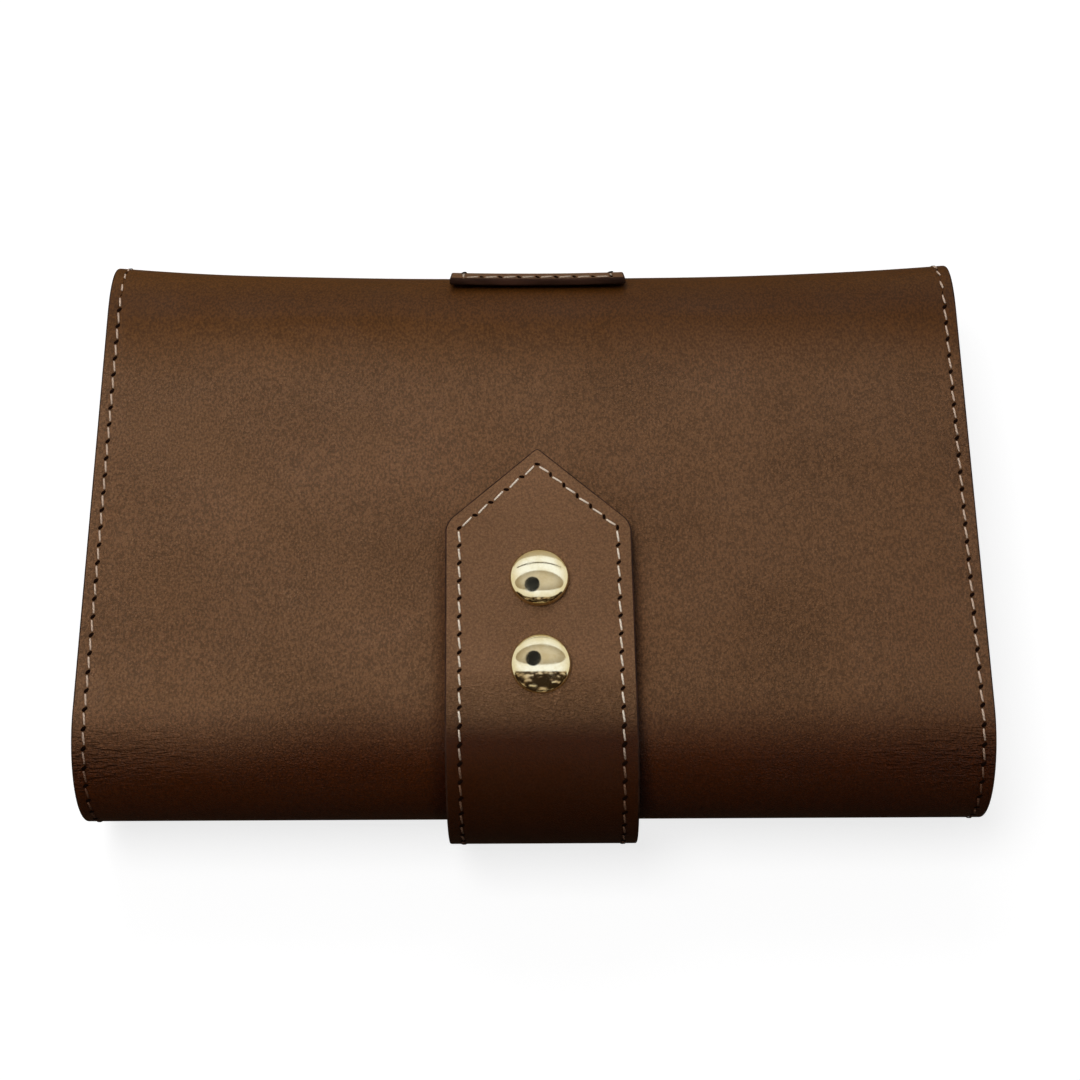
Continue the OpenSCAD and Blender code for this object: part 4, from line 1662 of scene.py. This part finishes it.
    def card(self, name, place, normal, half_w, half_h, glow, colour, sides=4):
        """A glowing card; one with many sides is an oval."""
        bm = bmesh.new()
        turn = Vector(normal).to_track_quat("Z", "Y").to_matrix().to_4x4()
        spin = Matrix.Rotation(math.pi / sides, 4, "Z")
        size = Matrix.Diagonal((half_w, half_h, 1, 1))
        corner = 1 / math.cos(math.pi / sides)
        bmesh.ops.create_circle(
            bm, cap_ends=True, segments=sides, radius=corner,
            matrix=Matrix.Translation(place) @ turn @ size @ spin,
        )
        mat = bpy.data.materials.new(name)
        tree = blank_tree(mat)
        light = tree.plain("Emission", colour)
        light.inputs["Strength"].default_value = glow
        tree.link(light.outputs[0], tree.new("OutputMaterial").inputs["Surface"])
        card = self.flat_object(bm, name, mat)
        card.visible_camera = False
        card.visible_diffuse = False
        card.visible_shadow = False
        card.visible_transmission = False
        return tree

    def dim_rim(self, tree, centre, half_w, half_h):
        """A card's light fades a little from its middle to its rim."""
        place = tree.new("Mapping")
        place.inputs["Scale"].default_value = (1 / half_w, 1 / half_h, 0)
        place.inputs["Location"].default_value = (-centre.x / half_w, -centre.y / half_h, 0)
        tree.link(tree.place(), place.inputs["Vector"])
        glow = tree.ranged(tree.distance(place.outputs["Vector"]), 0.35, 1.0, 0.62, 0.42)
        tree.link(glow, tree.nodes["Emission"].inputs["Strength"])

    def blotches(self, tree):
        """Pale patches on a dark card, strongest along its upper edge."""
        light = tree.nodes["Emission"]
        high = tree.ranged(tree.axes()[2], 0.45, 1.37, 0.02, 0.16)
        patch = tree.calc("ADD", tree.noise(3.8, 2.0, 0.55), high)
        dark = tuple(light.inputs["Color"].default_value)[:3]
        colour = tree.tinted(tree.ranged(patch, 0.57, 0.74), dark, (1.0, 0.84, 0.64))
        tree.link(colour, light.inputs["Color"])
        tree.link(tree.ranged(patch, 0.58, 0.76, 0.03, 0.72), light.inputs["Strength"])

    def camera(self, scene, stage):
        """Looks at the middle of the wallet from over its spine."""
        data = bpy.data.cameras.new("camera")
        data.lens = stage.lens
        data.sensor_width = 36.0
        camera = bpy.data.objects.new("camera", data)
        aside = math.sin(stage.tilt)
        back = Vector((math.sin(stage.turn) * aside, -math.cos(stage.turn) * aside,
                       math.cos(stage.tilt)))
        aim = Vector((AIM_X, (SPINE_Y + LIP_Y) / 2 + AIM_Y, MID_Z))
        right = (-back).cross(Vector((0, 1, 0))).normalized()
        up = right.cross(-back)
        turned = Matrix((right, up, back)).transposed() @ Matrix.Rotation(stage.roll, 3, "Z")
        camera.matrix_world = Matrix.Translation(aim + back * stage.distance) @ turned.to_4x4()
        scene.collection.objects.link(camera)
        scene.camera = camera


class WALLET_PT_panel(bpy.types.Panel):
    """Lists the wallet's pieces in the sidebar"""

    bl_label = "Long Wallet"
    bl_idname = "WALLET_PT_panel"
    bl_space_type = "VIEW_3D"
    bl_region_type = "UI"
    bl_category = "Wallet"

    def draw(self, context):
        layout = self.layout
        for cls in OPERATORS:
            layout.operator(cls.bl_idname)
        for group in ("wallet_sizes", "wallet_finish", "wallet_stage"):
            settings = getattr(context.scene, group)
            box = layout.box()
            for name in settings.__annotations__:
                box.prop(settings, name)


OPERATORS = (
    WALLET_OT_covers,
    WALLET_OT_linings,
    WALLET_OT_strap,
    WALLET_OT_lip_tab,
    WALLET_OT_stitching,
    WALLET_OT_snaps,
    WALLET_OT_card_pockets,
    WALLET_OT_compartments,
    WALLET_OT_zip,
    WALLET_OT_stage,
)
CLASSES = (WalletSizes, WalletFinish, WalletStage, *OPERATORS, WALLET_PT_panel)


def register():
    for cls in CLASSES:
        bpy.utils.register_class(cls)
    bpy.types.Scene.wallet_sizes = PointerProperty(type=WalletSizes)
    bpy.types.Scene.wallet_finish = PointerProperty(type=WalletFinish)
    bpy.types.Scene.wallet_stage = PointerProperty(type=WalletStage)


def unregister():
    del bpy.types.Scene.wallet_stage
    del bpy.types.Scene.wallet_finish
    del bpy.types.Scene.wallet_sizes
    for cls in reversed(CLASSES):
        bpy.utils.unregister_class(cls)


def main():
    register()
    bpy.ops.wallet.stage()
    bpy.ops.wallet.covers()
    bpy.ops.wallet.linings()
    bpy.ops.wallet.strap()
    bpy.ops.wallet.lip_tab()
    bpy.ops.wallet.stitching()
    bpy.ops.wallet.snaps()
    bpy.ops.wallet.card_pockets()
    bpy.ops.wallet.compartments()
    bpy.ops.wallet.zip()


if __name__ == "__main__":
    main()
